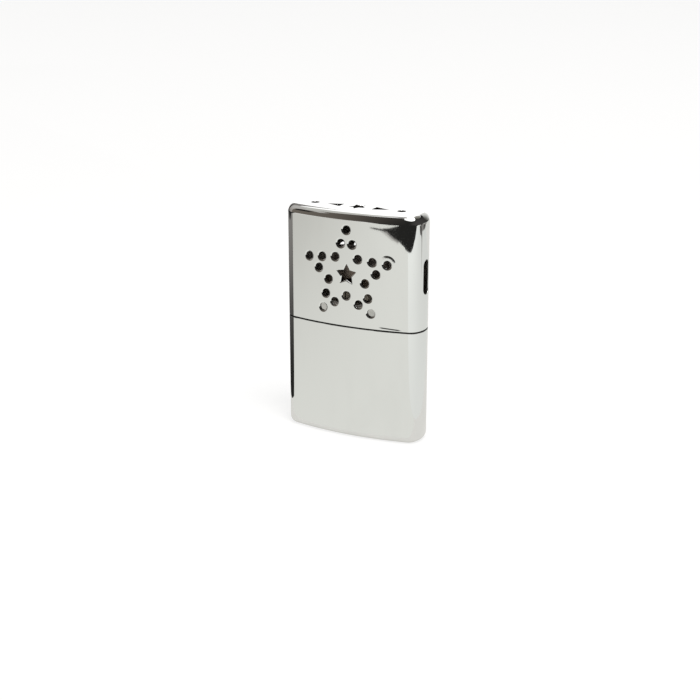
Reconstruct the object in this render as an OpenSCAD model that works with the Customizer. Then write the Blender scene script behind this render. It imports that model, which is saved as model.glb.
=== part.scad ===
// Pocket catalytic hand warmer: a drawn steel tank with a filler neck, a clip-on burner
// and a pierced lid that slides over the tank's collar.
// Millimetres. +Z is up, the front faces -Y, and the origin is the middle of the base.

/* [Case] */
// Width of the case
body_w = 64; // [60:1:70]
// Thickness of the case at the middle
body_d = 22; // [20:0.5:24]
// Height of the closed warmer
body_h = 100; // [96:1:110]
// Height of the tank up to the seam
seam_z = 50; // [46:0.5:52]
// Gap between the rims of the tank and the lid
seam_gap = 0.4; // [0.3:0.05:0.6]
// Thickness of the drawn sheet
sheet = 0.5; // [0.4:0.05:0.7]
// Radius of the crowned front and back
crown_r = 123; // [110:1:160]
// Radius of the rounded narrow sides
side_r = 12; // [11:0.5:13]
// Radius where the faces turn into the narrow sides
corner_r = 5.5; // [5:0.25:6.5]
// Radius of the lid's top edge
top_edge_r = 4; // [2:0.25:4.5]
// Radius of the tank's bottom edge
bottom_edge_r = 3; // [2:0.25:4.5]

/* [Star of holes] */
// Depth of the centre of the star below the top
star_drop = 27; // [25:0.5:28]
// Distance of the five tip holes from the centre
star_tip_r = 19.3; // [17:0.1:20]
// Distance of the five notch holes from the centre
star_notch_r = 9.05; // [8:0.05:10]
// Diameter of the round holes
hole_d = 3.6; // [3:0.1:3.8]
// Width of the rolled edge round each hole
hole_roll = 0.6; // [0.2:0.05:0.7]
// Depth of the rolled edge
hole_roll_depth = 0.35; // [0.2:0.05:0.35]
// Tip radius of the small star in the middle
mid_star_r = 4.6; // [3:0.1:5]
// Notch radius of the small star in the middle
mid_star_notch_r = 2.3; // [1.5:0.1:2.5]

/* [Top and side holes] */
// Tip radius of the star in the top
top_star_r = 4.3; // [3:0.1:5]
// Notch radius of the star in the top
top_star_notch_r = 2; // [1.2:0.1:2.4]
// Distance of the triangles from the middle of the top
top_tri_x = 11.2; // [10.4:0.1:11.6]
// Length of the triangles
top_tri_l = 7.3; // [5:0.1:7.5]
// Width of the triangles
top_tri_w = 5.2; // [3:0.1:6]
// Distance of the end holes from the middle of the top
top_hole_x = 20.3; // [19:0.1:21.5]
// Diameter of the end holes
top_hole_d = 3.6; // [2:0.1:4]
// Depth of the middle of the side slots below the top
slot_drop = 26.8; // [24:0.2:28]
// Length of the side slots
slot_h = 15; // [10:0.5:18]
// Width of the side slots
slot_w = 4.8; // [3:0.1:5.5]

/* [Collar] */
// Height of the collar above the seam
collar_h = 10.5; // [8:0.5:12]
// Depth that the collar reaches down inside the tank
collar_depth = 6; // [4:0.5:10]
// Radius of the shoulder's edge
collar_edge_r = 1.5; // [1:0.1:2.5]
// Clearance between the collar and the lid
lid_fit = 0.3; // [0.15:0.05:0.4]

/* [Filler neck] */
// Length of the neck across its outside
neck_l = 25; // [22:0.5:28]
// Width of the neck across its outside
neck_w = 11; // [9:0.5:12]
// Height of the neck above the shoulder
neck_h = 4; // [3.5:0.25:4.25]
// Depth of the neck below the shoulder
neck_depth = 6; // [4:0.5:8]
// Wall of the neck
neck_wall = 0.6; // [0.4:0.1:0.8]
// Width of the neck's flange
flange_w = 2; // [1:0.1:3]
// Thickness of the neck's flange
flange_t = 0.5; // [0.4:0.1:0.8]
// Radius of the bead on the neck's rim
bead_r = 0.45; // [0.35:0.05:0.5]
// Depth of the grille below the neck's rim
grille_drop = 5.8; // [5.2:0.1:6.2]
// Thickness of the grille
grille_t = 0.4; // [0.3:0.1:0.6]
// Height of the grille's turned-down edge
grille_edge_h = 2; // [1:0.25:3]
// Diameter of the holes in the grille
grille_hole_d = 1.7; // [1:0.1:1.9]
// Spacing of the holes in the grille
grille_pitch = 2.7; // [2.4:0.1:3.5]

/* [Wadding] */
// Length of the felt below the neck
felt_drop = 4; // [2:0.5:6]
// Clearance round the wadding and the felt
soft_fit = 0.3; // [0.2:0.1:0.5]
// Height of the joint between the two cotton batts
batt_split_z = 25; // [20:1:30]
// Edge radius of the cotton batts
batt_edge_r = 3; // [2:0.25:3.5]

/* [Burner] */
// Length of the burner
burner_l = 29; // [28.5:0.5:32]
// Width of the burner
burner_w = 15; // [14.5:0.25:16]
// Height of the burner's case
burner_h = 15.8; // [15:0.1:16.5]
// Sheet of the burner
burner_sheet = 0.4; // [0.3:0.05:0.5]
// Clearance between the skirt and the neck
skirt_fit = 0.3; // [0.2:0.05:0.35]
// Gap between the skirt's foot and the neck's flange
skirt_gap = 0.3; // [0.2:0.05:0.5]
// Height of the skirt
skirt_h = 5; // [4.8:0.1:5.5]
// Length of the slits that free the skirt's tongues
tongue_h = 3.4; // [2:0.1:4]
// Width of a tongue
tongue_w = 5; // [3:0.25:7]
// Width of the slits
slit_w = 0.6; // [0.4:0.1:1]
// Height of the air windows
window_h = 3.6; // [2:0.1:4]
// Width of an air window
window_w = 3.2; // [2:0.1:4]
// Spacing of the air windows
window_pitch = 4.6; // [4.5:0.1:6]
// Height of the spacer ring under the gauze
spacer_h = 5; // [4.8:0.1:6]
// Width of the turned-in rims
rim_w = 1.6; // [1:0.1:2]
// Thickness of the gauzes
gauze_t = 0.3; // [0.2:0.05:0.5]
// Spacing of the wires
gauze_pitch = 1.7; // [1.5:0.1:2.5]
// Width of the gaps between the wires
gauze_gap = 1.25; // [0.8:0.05:1.3]
// Thickness of the flat retaining ring
retainer_t = 0.5; // [0.3:0.1:0.8]

/* [Hidden] */
$fn = 48;

chrome_color = [0.80, 0.81, 0.82];
steel_color = [0.66, 0.66, 0.65];
scorched_color = [0.42, 0.37, 0.32];
gauze_color = [0.55, 0.54, 0.52];
mat_color = [0.62, 0.60, 0.56];
cotton_color = [0.95, 0.94, 0.90];
felt_color = [0.86, 0.82, 0.72];

crown_steps = 12;       // facets of the front and of the back
corner_steps = 6;       // facets of each corner
side_steps = 6;         // facets of each narrow side
edge_steps = 6;         // facets of a rolled edge
eps = 0.02;             // overlap that keeps cuts clean
assembly_gap = 0.05;    // clearance of pieces pushed into each other
star_points = 5;
hole_margin = 0.8;      // least metal round a small hole

half_w = body_w / 2;
half_d = body_d / 2;

// Centre of a corner arc, tangent inside both the crowned face and the narrow side
crown_cy = crown_r - half_d;
side_cx = half_w - side_r;
centre_span = norm([side_cx, crown_cy]);
crown_reach = crown_r - corner_r;
side_reach = side_r - corner_r;
along = (crown_reach * crown_reach - side_reach * side_reach + centre_span * centre_span)
    / (2 * centre_span);
across = sqrt(crown_reach * crown_reach - along * along);
corner_cx = (side_cx * along + crown_cy * across) / centre_span;
corner_cy = (crown_cy * along - side_cx * across) / centre_span - crown_cy;
side_angle = atan2(corner_cy, corner_cx - side_cx);
crown_angle = atan2(corner_cy + crown_cy, corner_cx);

// Heights, from the seam upwards, and the middles of the patterns in the lid
star_z = body_h - star_drop;
slot_z = body_h - slot_drop;
cap_inset = sheet + lid_fit;
shoulder_z = seam_z + collar_h;
neck_top = shoulder_z + neck_h;
neck_bottom = shoulder_z - sheet - neck_depth;
grille_z = neck_top - grille_drop;
flange_top = shoulder_z + flange_t;
skirt_z = flange_top + skirt_gap;
ledge_z = skirt_z + skirt_h;
cover_z = ledge_z - 2 * burner_sheet;
cover_top = cover_z + burner_h;
lower_gauze_z = ledge_z + spacer_h;
mat_z = lower_gauze_z + gauze_t;
retainer_z = cover_top - burner_sheet - retainer_t;
upper_gauze_z = retainer_z - gauze_t;
window_z = ledge_z + (spacer_h - burner_sheet - window_h) / 2;
felt_bottom = neck_bottom - felt_drop;
batt_top = felt_bottom - soft_fit;

// Plan sizes of the neck and the burner, as [length, width]
neck_size = [neck_l, neck_w];
skirt_size = neck_size + 2 * (skirt_fit + burner_sheet) * [1, 1];
burner_size = [burner_l, burner_w];
cover_bore = burner_size - 2 * burner_sheet * [1, 1];
stack_size = cover_bore - 2 * assembly_gap * [1, 1];

function arc(c, r, from, to, steps) =
    [for (i = [0 : steps - 1]) let (a = from + (to - from) * i / steps)
        c + r * [cos(a), sin(a)]];

// Outline of the case, moved inwards by inset; each part of it has steps / coarse facets
function outline(inset, coarse = 1) = let (
        sr = side_r - inset,
        cr = corner_r - inset,
        fr = crown_r - inset,
        sn = side_steps / coarse,
        cn = corner_steps / coarse,
        fn = crown_steps / coarse,
        sa = side_angle,
        ca = crown_angle
    ) concat(
        arc([side_cx, 0], sr, -sa, sa, sn),
        arc([corner_cx, corner_cy], cr, sa, ca, cn),
        arc([0, -crown_cy], fr, ca, 180 - ca, fn),
        arc([-corner_cx, corner_cy], cr, 180 - ca, 180 - sa, cn),
        arc([-side_cx, 0], sr, 180 - sa, 180 + sa, sn),
        arc([-corner_cx, -corner_cy], cr, 180 + sa, 180 + ca, cn),
        arc([0, crown_cy], fr, 180 + ca, 360 - ca, fn),
        arc([corner_cx, -corner_cy], cr, 360 - ca, 360 - sa, cn)
    );

// Quarter turn of a rolled edge as [inset, z] pairs: it starts at the wall and ends on the
// flat, at height z, and up is 1 for a top edge and -1 for a bottom edge
function rolled(inset, r, z, up, steps = edge_steps) =
    [for (i = [0 : steps]) let (a = 90 * i / steps)
        [inset + r * (1 - cos(a)), z - up * r * (1 - sin(a))]];

function reversed(list) = [for (i = [len(list) - 1 : -1 : 0]) list[i]];

// Radius of an edge, no more than the corners of the case allow
function edge_limit(r) = min(r, corner_r - 0.4);

// Corners of a star with one tip up
function star_outline(tip_r, notch_r) =
    [for (i = [0 : 2 * star_points - 1]) let (r = i % 2 == 0 ? tip_r : notch_r)
        r * [sin(180 * i / star_points), cos(180 * i / star_points)]];

// Closed skin through one ring of the outline for each [inset, z] of the profile
module skin(profile, coarse = 1) {
    rings = [for (p = profile) [for (q = outline(p[0], coarse)) [q.x, q.y, p[1]]]];
    n = len(rings[0]);
    last = len(rings) - 1;
    points = [for (ring = rings) for (q = ring) q];
    walls = [for (i = [0 : last - 1]) for (j = [0 : n - 1])
        let (k = (j + 1) % n, a = i * n, b = a + n)
            each [[a + j, b + j, b + k], [a + j, b + k, a + k]]];
    first_cap = [for (j = [0 : n - 1]) j];
    last_cap = [for (j = [n - 1 : -1 : 0]) last * n + j];
    polyhedron(points, concat([first_cap], walls, [last_cap]));
}

// Flat shape with half-round ends, centred, size is [length, width]
module obround(size) {
    run = size[0] - size[1];
    square([run, size[1]], center = true);
    for (s = [-1, 1]) {
        translate([s * run / 2, 0]) circle(d = size[1]);
    }
}

module obround_ring(outer, inner, z, h) {
    translate([0, 0, z]) linear_extrude(h) difference() {
        obround(outer);
        obround(inner);
    }
}

// Round bead that follows an obround line
module obround_bead(size, r, z) {
    run = size[0] - size[1];
    for (s = [0, 1]) {
        translate([0, 0, z]) rotate([0, 0, 180 * s]) {
            translate([run / 2, 0, 0]) rotate([0, 0, -90])
                rotate_extrude(angle = 180) translate([size[1] / 2, 0]) circle(r);
            translate([-run / 2, size[1] / 2, 0]) rotate([0, 90, 0]) cylinder(h = run, r = r);
        }
    }
}

// One round hole in the front and one in the back, each square to the sheet, with the
// edge rolled in
module round_hole(x, z) {
    reach = hole_roll_depth + sheet;
    for (back = [0, 1]) {
        mirror([0, back, 0]) translate([0, crown_cy, z])
            rotate([0, 0, asin(x / crown_r)]) rotate([90, 0, 0]) {
                translate([0, 0, crown_r - 3 * sheet]) cylinder(h = 6 * sheet, d = hole_d);
                translate([0, 0, crown_r - hole_roll_depth]) cylinder(h = reach, d1 = hole_d,
                    d2 = hole_d + 2 * hole_roll * reach / hole_roll_depth);
            }
    }
}

// Holes at the tips, at the notches and halfway along each side of the star
module star_holes() {
    corners = star_outline(star_tip_r, star_notch_r);
    for (i = [0 : len(corners) - 1]) {
        here = corners[i];
        next = corners[(i + 1) % len(corners)];
        mid = (here + next) / 2;
        round_hole(here.x, star_z + here.y);
        round_hole(mid.x, star_z + mid.y);
    }
    translate([0, 0, star_z]) rotate([90, 0, 0])
        linear_extrude(2 * body_d, center = true)
            polygon(star_outline(mid_star_r, mid_star_notch_r));
}

// Holes in the top: a star with one tip to the front, triangles that point outwards, and
// round holes at the ends
module top_holes() {
    tip = [top_tri_l / 2, 0];
    base = [-top_tri_l / 2, top_tri_w / 2];
    translate([0, 0, body_h - top_edge_r]) linear_extrude(2 * top_edge_r) {
        rotate(180) polygon(star_outline(top_star_r, top_star_notch_r));
        for (s = [-1, 1]) {
            translate([s * top_tri_x, 0]) rotate(90 - 90 * s)
                polygon([tip, base, [base.x, -base.y]]);
            translate([s * top_hole_x, 0]) circle(d = top_hole_d);
        }
    }
}

module side_slots() {
    translate([0, 0, slot_z]) rotate([90, 0, 90])
        linear_extrude(2 * body_w, center = true)
            rotate(90) obround([slot_h, slot_w]);
}

module lid_shell() {
    edge = edge_limit(top_edge_r);
    rim_z = seam_z + seam_gap;
    inner = rolled(sheet, edge - sheet, body_h - sheet, 1);
    outer = rolled(0, edge, body_h, 1);
    color(chrome_color) difference() {
        skin(concat(reversed(inner), [[sheet, rim_z], [0, rim_z]], outer));
        star_holes();
        top_holes();
        side_slots();
    }
}

module tank_shell() {
    edge = edge_limit(bottom_edge_r);
    inner = rolled(sheet, edge - sheet, sheet, -1);
    outer = rolled(0, edge, 0, -1);
    color(chrome_color)
        skin(concat(reversed(outer), [[0, seam_z], [sheet, seam_z]], inner));
}

// The collar steps in just below the seam, so that the lid slides over it
module tank_cap() {
    edge = edge_limit(collar_edge_r);
    foot_z = seam_z - collar_depth;
    step_z = seam_z - 2 * sheet;
    inner = rolled(cap_inset + sheet, edge - sheet, shoulder_z - sheet, 1);
    outer = rolled(cap_inset, edge, shoulder_z, 1);
    color(steel_color) difference() {
        skin(concat(reversed(inner),
            [[cap_inset + sheet, step_z + lid_fit - sheet / 2],
                [2 * sheet, step_z - sheet / 2],
                [2 * sheet, foot_z], [sheet, foot_z],
                [sheet, step_z], [cap_inset, step_z + lid_fit]],
            outer));
        translate([0, 0, shoulder_z - 2 * sheet]) linear_extrude(3 * sheet)
            obround(neck_size + 2 * assembly_gap * [1, 1]);
    }
}

module filler_neck() {
    bore = neck_size - 2 * neck_wall * [1, 1];
    color(steel_color) {
        obround_ring(neck_size, bore, neck_bottom, neck_top - bead_r - neck_bottom);
        obround_ring(neck_size + 2 * flange_w * [1, 1], neck_size - neck_wall * [1, 1],
            shoulder_z, flange_t);
        obround_bead(neck_size - 2 * bead_r * [1, 1], bead_r, neck_top - bead_r);
    }
}

// Staggered holes that stay clear of the plate's edge
module grille_holes(size) {
    run = size[0] - size[1];
    reach = size[1] / 2 - grille_hole_d / 2 - hole_margin;
    row = grille_pitch * sin(60);
    for (j = [-2 : 2], i = [-6 : 6]) {
        x = grille_pitch * (i + (j % 2 == 0 ? 0 : 0.5));
        y = row * j;
        if (norm([max(abs(x) - run / 2, 0), y]) <= reach) {
            translate([x, y]) circle(d = grille_hole_d);
        }
    }
}

module neck_grille() {
    size = neck_size - 2 * (neck_wall + assembly_gap) * [1, 1];
    color(steel_color) {
        translate([0, 0, grille_z]) linear_extrude(grille_t) difference() {
            obround(size);
            grille_holes(size);
        }
        obround_ring(size, size - 2 * grille_t * [1, 1], grille_z - grille_edge_h,
            grille_edge_h);
    }
}

module wick_pad() {
    size = neck_size - 2 * (neck_wall + assembly_gap + grille_t + soft_fit) * [1, 1];
    color(felt_color) translate([0, 0, felt_bottom])
        linear_extrude(grille_z - soft_fit - felt_bottom) obround(size);
}

// Pad of cotton that follows the tank's outline, with soft edges
module batt(bottom, top) {
    inset = 2 * sheet + soft_fit;
    low = rolled(inset, batt_edge_r, bottom, -1, 3);
    high = rolled(inset, batt_edge_r, top, 1, 3);
    color(cotton_color) skin(concat(reversed(low), high), coarse = 2);
}

module cotton_lower() {
    batt(sheet + soft_fit, batt_split_z);
}

module cotton_upper() {
    batt(batt_split_z + soft_fit, batt_top);
}

// Slits that free a tongue in each side of the skirt
module tongue_slits() {
    for (s = [-1, 1]) {
        translate([s * (tongue_w + slit_w) / 2, 0, skirt_z + tongue_h / 2 - eps])
            cube([slit_w, 2 * burner_w, tongue_h], center = true);
    }
}

module burner_frame() {
    bore = skirt_size - 2 * burner_sheet * [1, 1];
    color(scorched_color) difference() {
        union() {
            obround_ring(skirt_size, bore, skirt_z, skirt_h);
            obround_ring(stack_size, bore, ledge_z - burner_sheet, burner_sheet);
        }
        tongue_slits();
    }
}

// A row of air windows along both straight sides
module air_windows() {
    run = burner_l - burner_w;
    count = max(1, floor((run + window_pitch - window_w) / window_pitch));
    for (i = [0 : count - 1]) {
        translate([(i - (count - 1) / 2) * window_pitch, 0, window_z + window_h / 2])
            cube([window_w, 2 * burner_w, window_h], center = true);
    }
}

module gauze_frame() {
    bore = stack_size - 2 * burner_sheet * [1, 1];
    color(scorched_color) difference() {
        union() {
            obround_ring(stack_size, bore, ledge_z, spacer_h);
            obround_ring(stack_size, stack_size - 2 * rim_w * [1, 1],
                lower_gauze_z - burner_sheet, burner_sheet);
        }
        air_windows();
    }
}

// Square mesh of wires inside a narrow solid edge
module gauze(z) {
    field = stack_size - 2 * hole_margin * [1, 1];
    nx = floor(field[0] / gauze_pitch / 2);
    ny = floor(field[1] / gauze_pitch / 2);
    translate([0, 0, z]) linear_extrude(gauze_t) difference() {
        obround(stack_size);
        intersection() {
            obround(field);
            union() {
                for (i = [-nx : nx], j = [-ny : ny]) {
                    translate(gauze_pitch * [i, j]) square(gauze_gap, center = true);
                }
            }
        }
    }
}

module lower_gauze() {
    color(gauze_color) gauze(lower_gauze_z);
}

module upper_gauze() {
    color(gauze_color) gauze(upper_gauze_z);
}

module catalyst_mat() {
    color(mat_color) translate([0, 0, mat_z]) linear_extrude(upper_gauze_z - mat_z)
        obround(stack_size - 2 * soft_fit * [1, 1]);
}

module gauze_retainer() {
    color(scorched_color)
        obround_ring(stack_size, stack_size - 2 * rim_w * [1, 1], retainer_z, retainer_t);
}

// The cover's lower rim is turned in under the ledge of the frame, its top rim over the
// retaining ring
module burner_cover() {
    foot_bore = skirt_size + 2 * assembly_gap * [1, 1];
    top_bore = cover_bore - 2 * rim_w * [1, 1];
    color(scorched_color) difference() {
        union() {
            obround_ring(burner_size, cover_bore, cover_z, burner_h);
            obround_ring(burner_size, foot_bore, cover_z, burner_sheet);
            obround_ring(burner_size, top_bore, cover_top - burner_sheet, burner_sheet);
        }
        air_windows();
    }
}

tank_shell();
tank_cap();
filler_neck();
neck_grille();
wick_pad();
cotton_upper();
cotton_lower();
burner_frame();
gauze_frame();
lower_gauze();
catalyst_mat();
upper_gauze();
gauze_retainer();
burner_cover();
lid_shell();
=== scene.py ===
"""Pocket catalytic hand warmer: its finished pieces and a small studio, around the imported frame."""

import math

import bmesh
import bpy
import numpy as np
from bpy.props import FloatProperty, FloatVectorProperty, PointerProperty
from mathutils import Euler, Matrix, Vector, noise


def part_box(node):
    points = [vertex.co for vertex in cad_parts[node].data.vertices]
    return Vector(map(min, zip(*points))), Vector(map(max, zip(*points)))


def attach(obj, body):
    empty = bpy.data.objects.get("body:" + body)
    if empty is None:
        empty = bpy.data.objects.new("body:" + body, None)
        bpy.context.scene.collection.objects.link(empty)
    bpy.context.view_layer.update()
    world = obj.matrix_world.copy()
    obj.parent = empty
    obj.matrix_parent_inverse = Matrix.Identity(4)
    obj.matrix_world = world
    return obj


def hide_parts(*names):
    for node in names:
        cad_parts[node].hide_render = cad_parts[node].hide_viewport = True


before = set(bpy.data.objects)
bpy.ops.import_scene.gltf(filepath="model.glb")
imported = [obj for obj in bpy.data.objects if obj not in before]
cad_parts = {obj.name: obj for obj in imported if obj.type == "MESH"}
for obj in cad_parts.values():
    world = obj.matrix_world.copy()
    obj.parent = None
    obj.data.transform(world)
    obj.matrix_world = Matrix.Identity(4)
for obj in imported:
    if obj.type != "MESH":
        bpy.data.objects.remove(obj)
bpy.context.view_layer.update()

bl_info = {
    "name": "Catalytic hand warmer",
    "version": (1, 0, 0),
    "blender": (4, 5, 0),
    "location": "3D View > Sidebar > Hand Warmer",
    "description": "Builds a pocket catalytic hand warmer with its finishes and a small studio",
    "category": "Add Mesh",
}

MM = 0.001
FINE = math.radians(7.5)        # turn of one facet on polished edges
MEDIUM = 2 * FINE               # the same on the rims of thin sheet
COARSE = math.radians(20)       # the same on small bent edges
NIP = 0.1 * MM                  # rounding of a sheared edge
STAR_POINTS = 5
ROUND_END = 0.999               # share of half a slot's width that rounds its end
SHARP = math.radians(40)        # least turn of an edge that shows as sharp
HALF_TURN = Matrix.Rotation(math.pi, 4, "Z")
TO_FRONT = Matrix.Rotation(math.pi / 2, 4, "X")     # turns what points up to the front

# Marks of use on the front: a scuff over the seam, and a dent by the star's right tip
SCUFF_X, SCUFF_RISE, SCUFF_SLOPE = 19.8 * MM, 2.3 * MM, 0.053
DENT, DENT_RADIUS = Vector((18.4, -9.6, 79)) * MM, 2.8 * MM
DENT_SIDE = Vector((1.2, 0, 3)) * MM        # from its middle to the middle of its ridge


# ---------------------------------------------------------------- sizes and colours


def length(name, description, default_mm, low_mm=0.01, high_mm=300):
    """A length property, written in millimetres and held in metres."""
    return FloatProperty(name=name, description=description, default=default_mm * MM,
                         min=low_mm * MM, max=high_mm * MM, precision=5, unit="LENGTH")


def colour(name, description, default):
    """A colour property."""
    return FloatVectorProperty(name=name, description=description, default=default,
                               size=3, min=0, max=1, subtype="COLOR")


class CaseSizes(bpy.types.PropertyGroup):
    """Shape of the drawn case."""

    crown_radius: length("Crown radius", "Radius of the crowned front and back", 123)
    side_radius: length("Side radius", "Radius of the rounded narrow sides", 12)
    corner_radius: length("Corner radius", "Radius between faces and narrow sides", 5.5)
    top_edge: length("Top edge", "Radius of the lid's top edge", 4)
    bottom_edge: length("Bottom edge", "Radius of the tank's bottom edge", 3)
    sheet: length("Sheet", "Thickness of the drawn sheet", 0.5)
    rim_round: length("Rim rounding", "Radius along the rims at the seam", 0.15)
    lid_fit: length("Lid fit", "Clearance between the collar and the lid", 0.3)
    collar_edge: length("Collar edge", "Radius of the shoulder's edge", 1.5)
    joggle: length("Joggle", "Height of the step in the collar below the seam", 0.5)
    blend: length("Blend", "Half the length over which one curve of the case eases into "
                  "the next", 1)


class HoleSizes(bpy.types.PropertyGroup):
    """Holes punched through the lid."""

    star_drop: length("Star drop", "Depth of the star's centre below the top", 27)
    tip_radius: length("Tip radius", "Distance of the tip holes from the centre", 19.3)
    notch_radius: length("Notch radius", "Distance of the notch holes from the centre", 9.05)
    hole: length("Round hole", "Diameter of the round holes", 3.5)
    lip: length("Lip", "Width of the rolled-in edge round each hole", 0.88)
    lip_depth: length("Lip depth", "Depth of the rolled-in edge", 0.28)
    mid_lip: length("Middle star lip", "Width of the rolled-in edge of the small star", 0.8)
    mid_tip: length("Middle star tips", "Tip radius of the small star", 4.6)
    mid_notch: length("Middle star notches", "Notch radius of the small star", 2.3)
    top_tip: length("Top star tips", "Tip radius of the star in the top", 4.3)
    top_notch: length("Top star notches", "Notch radius of the star in the top", 2)
    triangle_x: length("Triangle place", "Distance of the triangles from the middle", 11.2)
    triangle_length: length("Triangle length", "Length of the triangles", 7.3)
    triangle_width: length("Triangle width", "Width of the triangles", 5.2)
    end_hole_x: length("End hole place", "Distance of the end holes from the middle", 20.3)
    end_hole: length("End hole", "Diameter of the end holes in the top", 3.6)
    slot_drop: length("Slot drop", "Depth of the slots' middles below the top", 26.8)
    slot_height: length("Slot height", "Length of the side slots", 15)
    slot_width: length("Slot width", "Width of the side slots", 4.8)
    punch_lip: length("Punched lip", "Rolled edge of the stars, triangles and slots", 0.15)
    punch_round: length("Punch rounding", "Radius in the corners of the punched shapes", 0.2)


class FillerSizes(bpy.types.PropertyGroup):
    """Neck, grille, felt and wadding."""

    wall: length("Neck wall", "Wall of the filler neck", 0.6)
    flange_width: length("Flange width", "How far the flange stands out of the neck", 2)
    flange_thickness: length("Flange", "Thickness of the flange on the shoulder", 0.5)
    bead: length("Bead", "Radius of the bead on the neck's rim", 0.45)
    grille_sheet: length("Grille sheet", "Thickness of the grille", 0.4)
    grille_hole: length("Grille hole", "Diameter of the holes in the grille", 1.7)
    grille_pitch: length("Grille pitch", "Spacing of the holes in the grille", 2.7)
    grille_margin: length("Grille margin", "Least metal between a hole and the edge", 0.8)
    puff: length("Puff", "How far the cotton's surface dips between tufts", 1.4)


class BurnerSizes(bpy.types.PropertyGroup):
    """The clip-on burner."""

    sheet: length("Burner sheet", "Thickness of the burner's sheet", 0.4)
    rim: length("Rim", "Width of the turned-in rims", 1.6)
    skirt_inset: length("Skirt inset", "How far the skirt steps in from the cover", 1.3)
    shoulder: length("Shoulder", "Outer radius of the cover's rolled edges", 0.9)
    tongue: length("Tongue", "Width of the spring tongues in the skirt", 5)
    tongue_height: length("Tongue height", "Length of the slits beside a tongue", 3.4)
    slit: length("Slit", "Width of the slits", 0.6)
    window_width: length("Window width", "Width of an air window", 3.2)
    window_height: length("Window height", "Height of an air window", 3.6)
    window_pitch: length("Window pitch", "Spacing of the air windows", 4.6)
    wire: length("Wire", "Radius of the gauze wires", 0.072)
    mesh_pitch: length("Mesh pitch", "Spacing of the gauze wires", 0.85)
    fibre: length("Fibre", "Length of the fibres that stand out of the pads", 3.2)
    fibre_radius: length("Fibre radius", "Radius of those fibres", 0.028)


class FinishColours(bpy.types.PropertyGroup):
    """Base colours of the finishes."""

    chrome: colour("Chrome", "Polished plating of the case", (0.86, 0.86, 0.85))
    steel: colour("Steel", "Bare steel of the collar and the neck", (0.66, 0.65, 0.63))
    # Painted shade: the dark inside of the lid stands in for the shade within the closed lid
    soot: colour("Soot", "Darkened steel inside the lid", (0.13, 0.12, 0.105))
    scorched: colour("Scorched steel", "Heat-browned steel of the burner", (0.27, 0.22, 0.18))
    temper: colour("Temper", "Darker heat tint high on the burner", (0.28, 0.245, 0.225))
    wire: colour("Wire", "Nickel wire of the gauzes", (0.48, 0.46, 0.43))
    glass: colour("Glass fibre", "Fibre mat that holds the catalyst", (0.60, 0.57, 0.52))
    catalyst: colour("Catalyst", "Grey bloom of the catalyst on the fibres", (0.24, 0.23, 0.22))
    cotton: colour("Cotton", "Wadding in the tank", (0.86, 0.84, 0.79))
    felt: colour("Felt", "Wick pad under the grille", (0.70, 0.64, 0.52))


class StudioSettings(bpy.types.PropertyGroup):
    """Camera, lights and floor."""

    azimuth: FloatProperty(name="Azimuth", description="Camera's turn to the right of the front",
                           default=math.radians(26.94), subtype="ANGLE")
    elevation: FloatProperty(name="Elevation", description="Camera's height above level",
                             default=math.radians(18.13), subtype="ANGLE")
    distance: length("Distance", "Camera's distance from the point it looks at", 588.6, 1, 5000)
    target: FloatVectorProperty(name="Target", description="Point that the camera looks at",
                                default=(-1.153 * MM, -5.085 * MM, 37.746 * MM), size=3,
                                precision=5, subtype="TRANSLATION", unit="LENGTH")
    lens: FloatProperty(name="Lens", description="Focal length on a 36 mm wide sensor",
                        default=70.03, min=1, unit="CAMERA")
    lamp: FloatProperty(name="Lamp", description="Power of the main soft light in watts",
                        default=40, min=0)
    lamp_size: length("Lamp size", "Diameter of the main soft light", 1000, 1, 5000)
    lamp_distance: length("Lamp distance", "Distance of the main soft light", 3000, 1, 9000)
    fill: FloatProperty(name="Fill", description="Strength of the light from all round",
                        default=0.55, min=0)
    floor: colour("Floor", "Pale floor", (0.80, 0.79, 0.77))


# ---------------------------------------------------------------- node graphs


class Wire:
    """An output of a node; arithmetic on it adds Math nodes, so a finish reads as a formula."""

    def __init__(self, graph, socket):
        self.graph, self.socket = graph, socket

    def __getitem__(self, name):
        return Wire(self.graph, pick(self.socket.node.outputs, name))

    def maths(self, operation, *values):
        """The result of a Math node with those values."""
        return self.graph.node("ShaderNodeMath", {"operation": operation},
                               dict(enumerate(values)))

    def __add__(self, other):
        return self.maths("ADD", self, other)

    def __sub__(self, other):
        return self.maths("SUBTRACT", self, other)

    def __rsub__(self, other):
        return self.maths("SUBTRACT", other, self)

    def __mul__(self, other):
        return self.maths("MULTIPLY", self, other)

    def __truediv__(self, other):
        return self.maths("DIVIDE", self, other)

    def __pow__(self, other):
        return self.maths("POWER", self, other)

    def __gt__(self, other):
        return self.maths("GREATER_THAN", self, other)

    def __lt__(self, other):
        return self.maths("LESS_THAN", self, other)

    def __abs__(self):
        return self.maths("ABSOLUTE", self)

    def most(self, other):
        """The larger of the two."""
        return self.maths("MAXIMUM", self, other)

    def fade(self, low, high):
        """0 below low and 1 above high, eased between; low may be above high."""
        return self.graph.node("ShaderNodeMapRange", {"interpolation_type": "SMOOTHSTEP"},
                               {"Value": self, "From Min": low, "From Max": high})

    __radd__ = __add__
    __rmul__ = __mul__


def pick(sockets, key):
    """The socket with that number, identifier or name; of like names, the one in use."""
    if isinstance(key, int):
        return sockets[key]
    exact = [s for s in sockets if s.identifier == key]
    named = [s for s in sockets if s.name == key and s.enabled]
    return (exact + named)[0]


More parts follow.
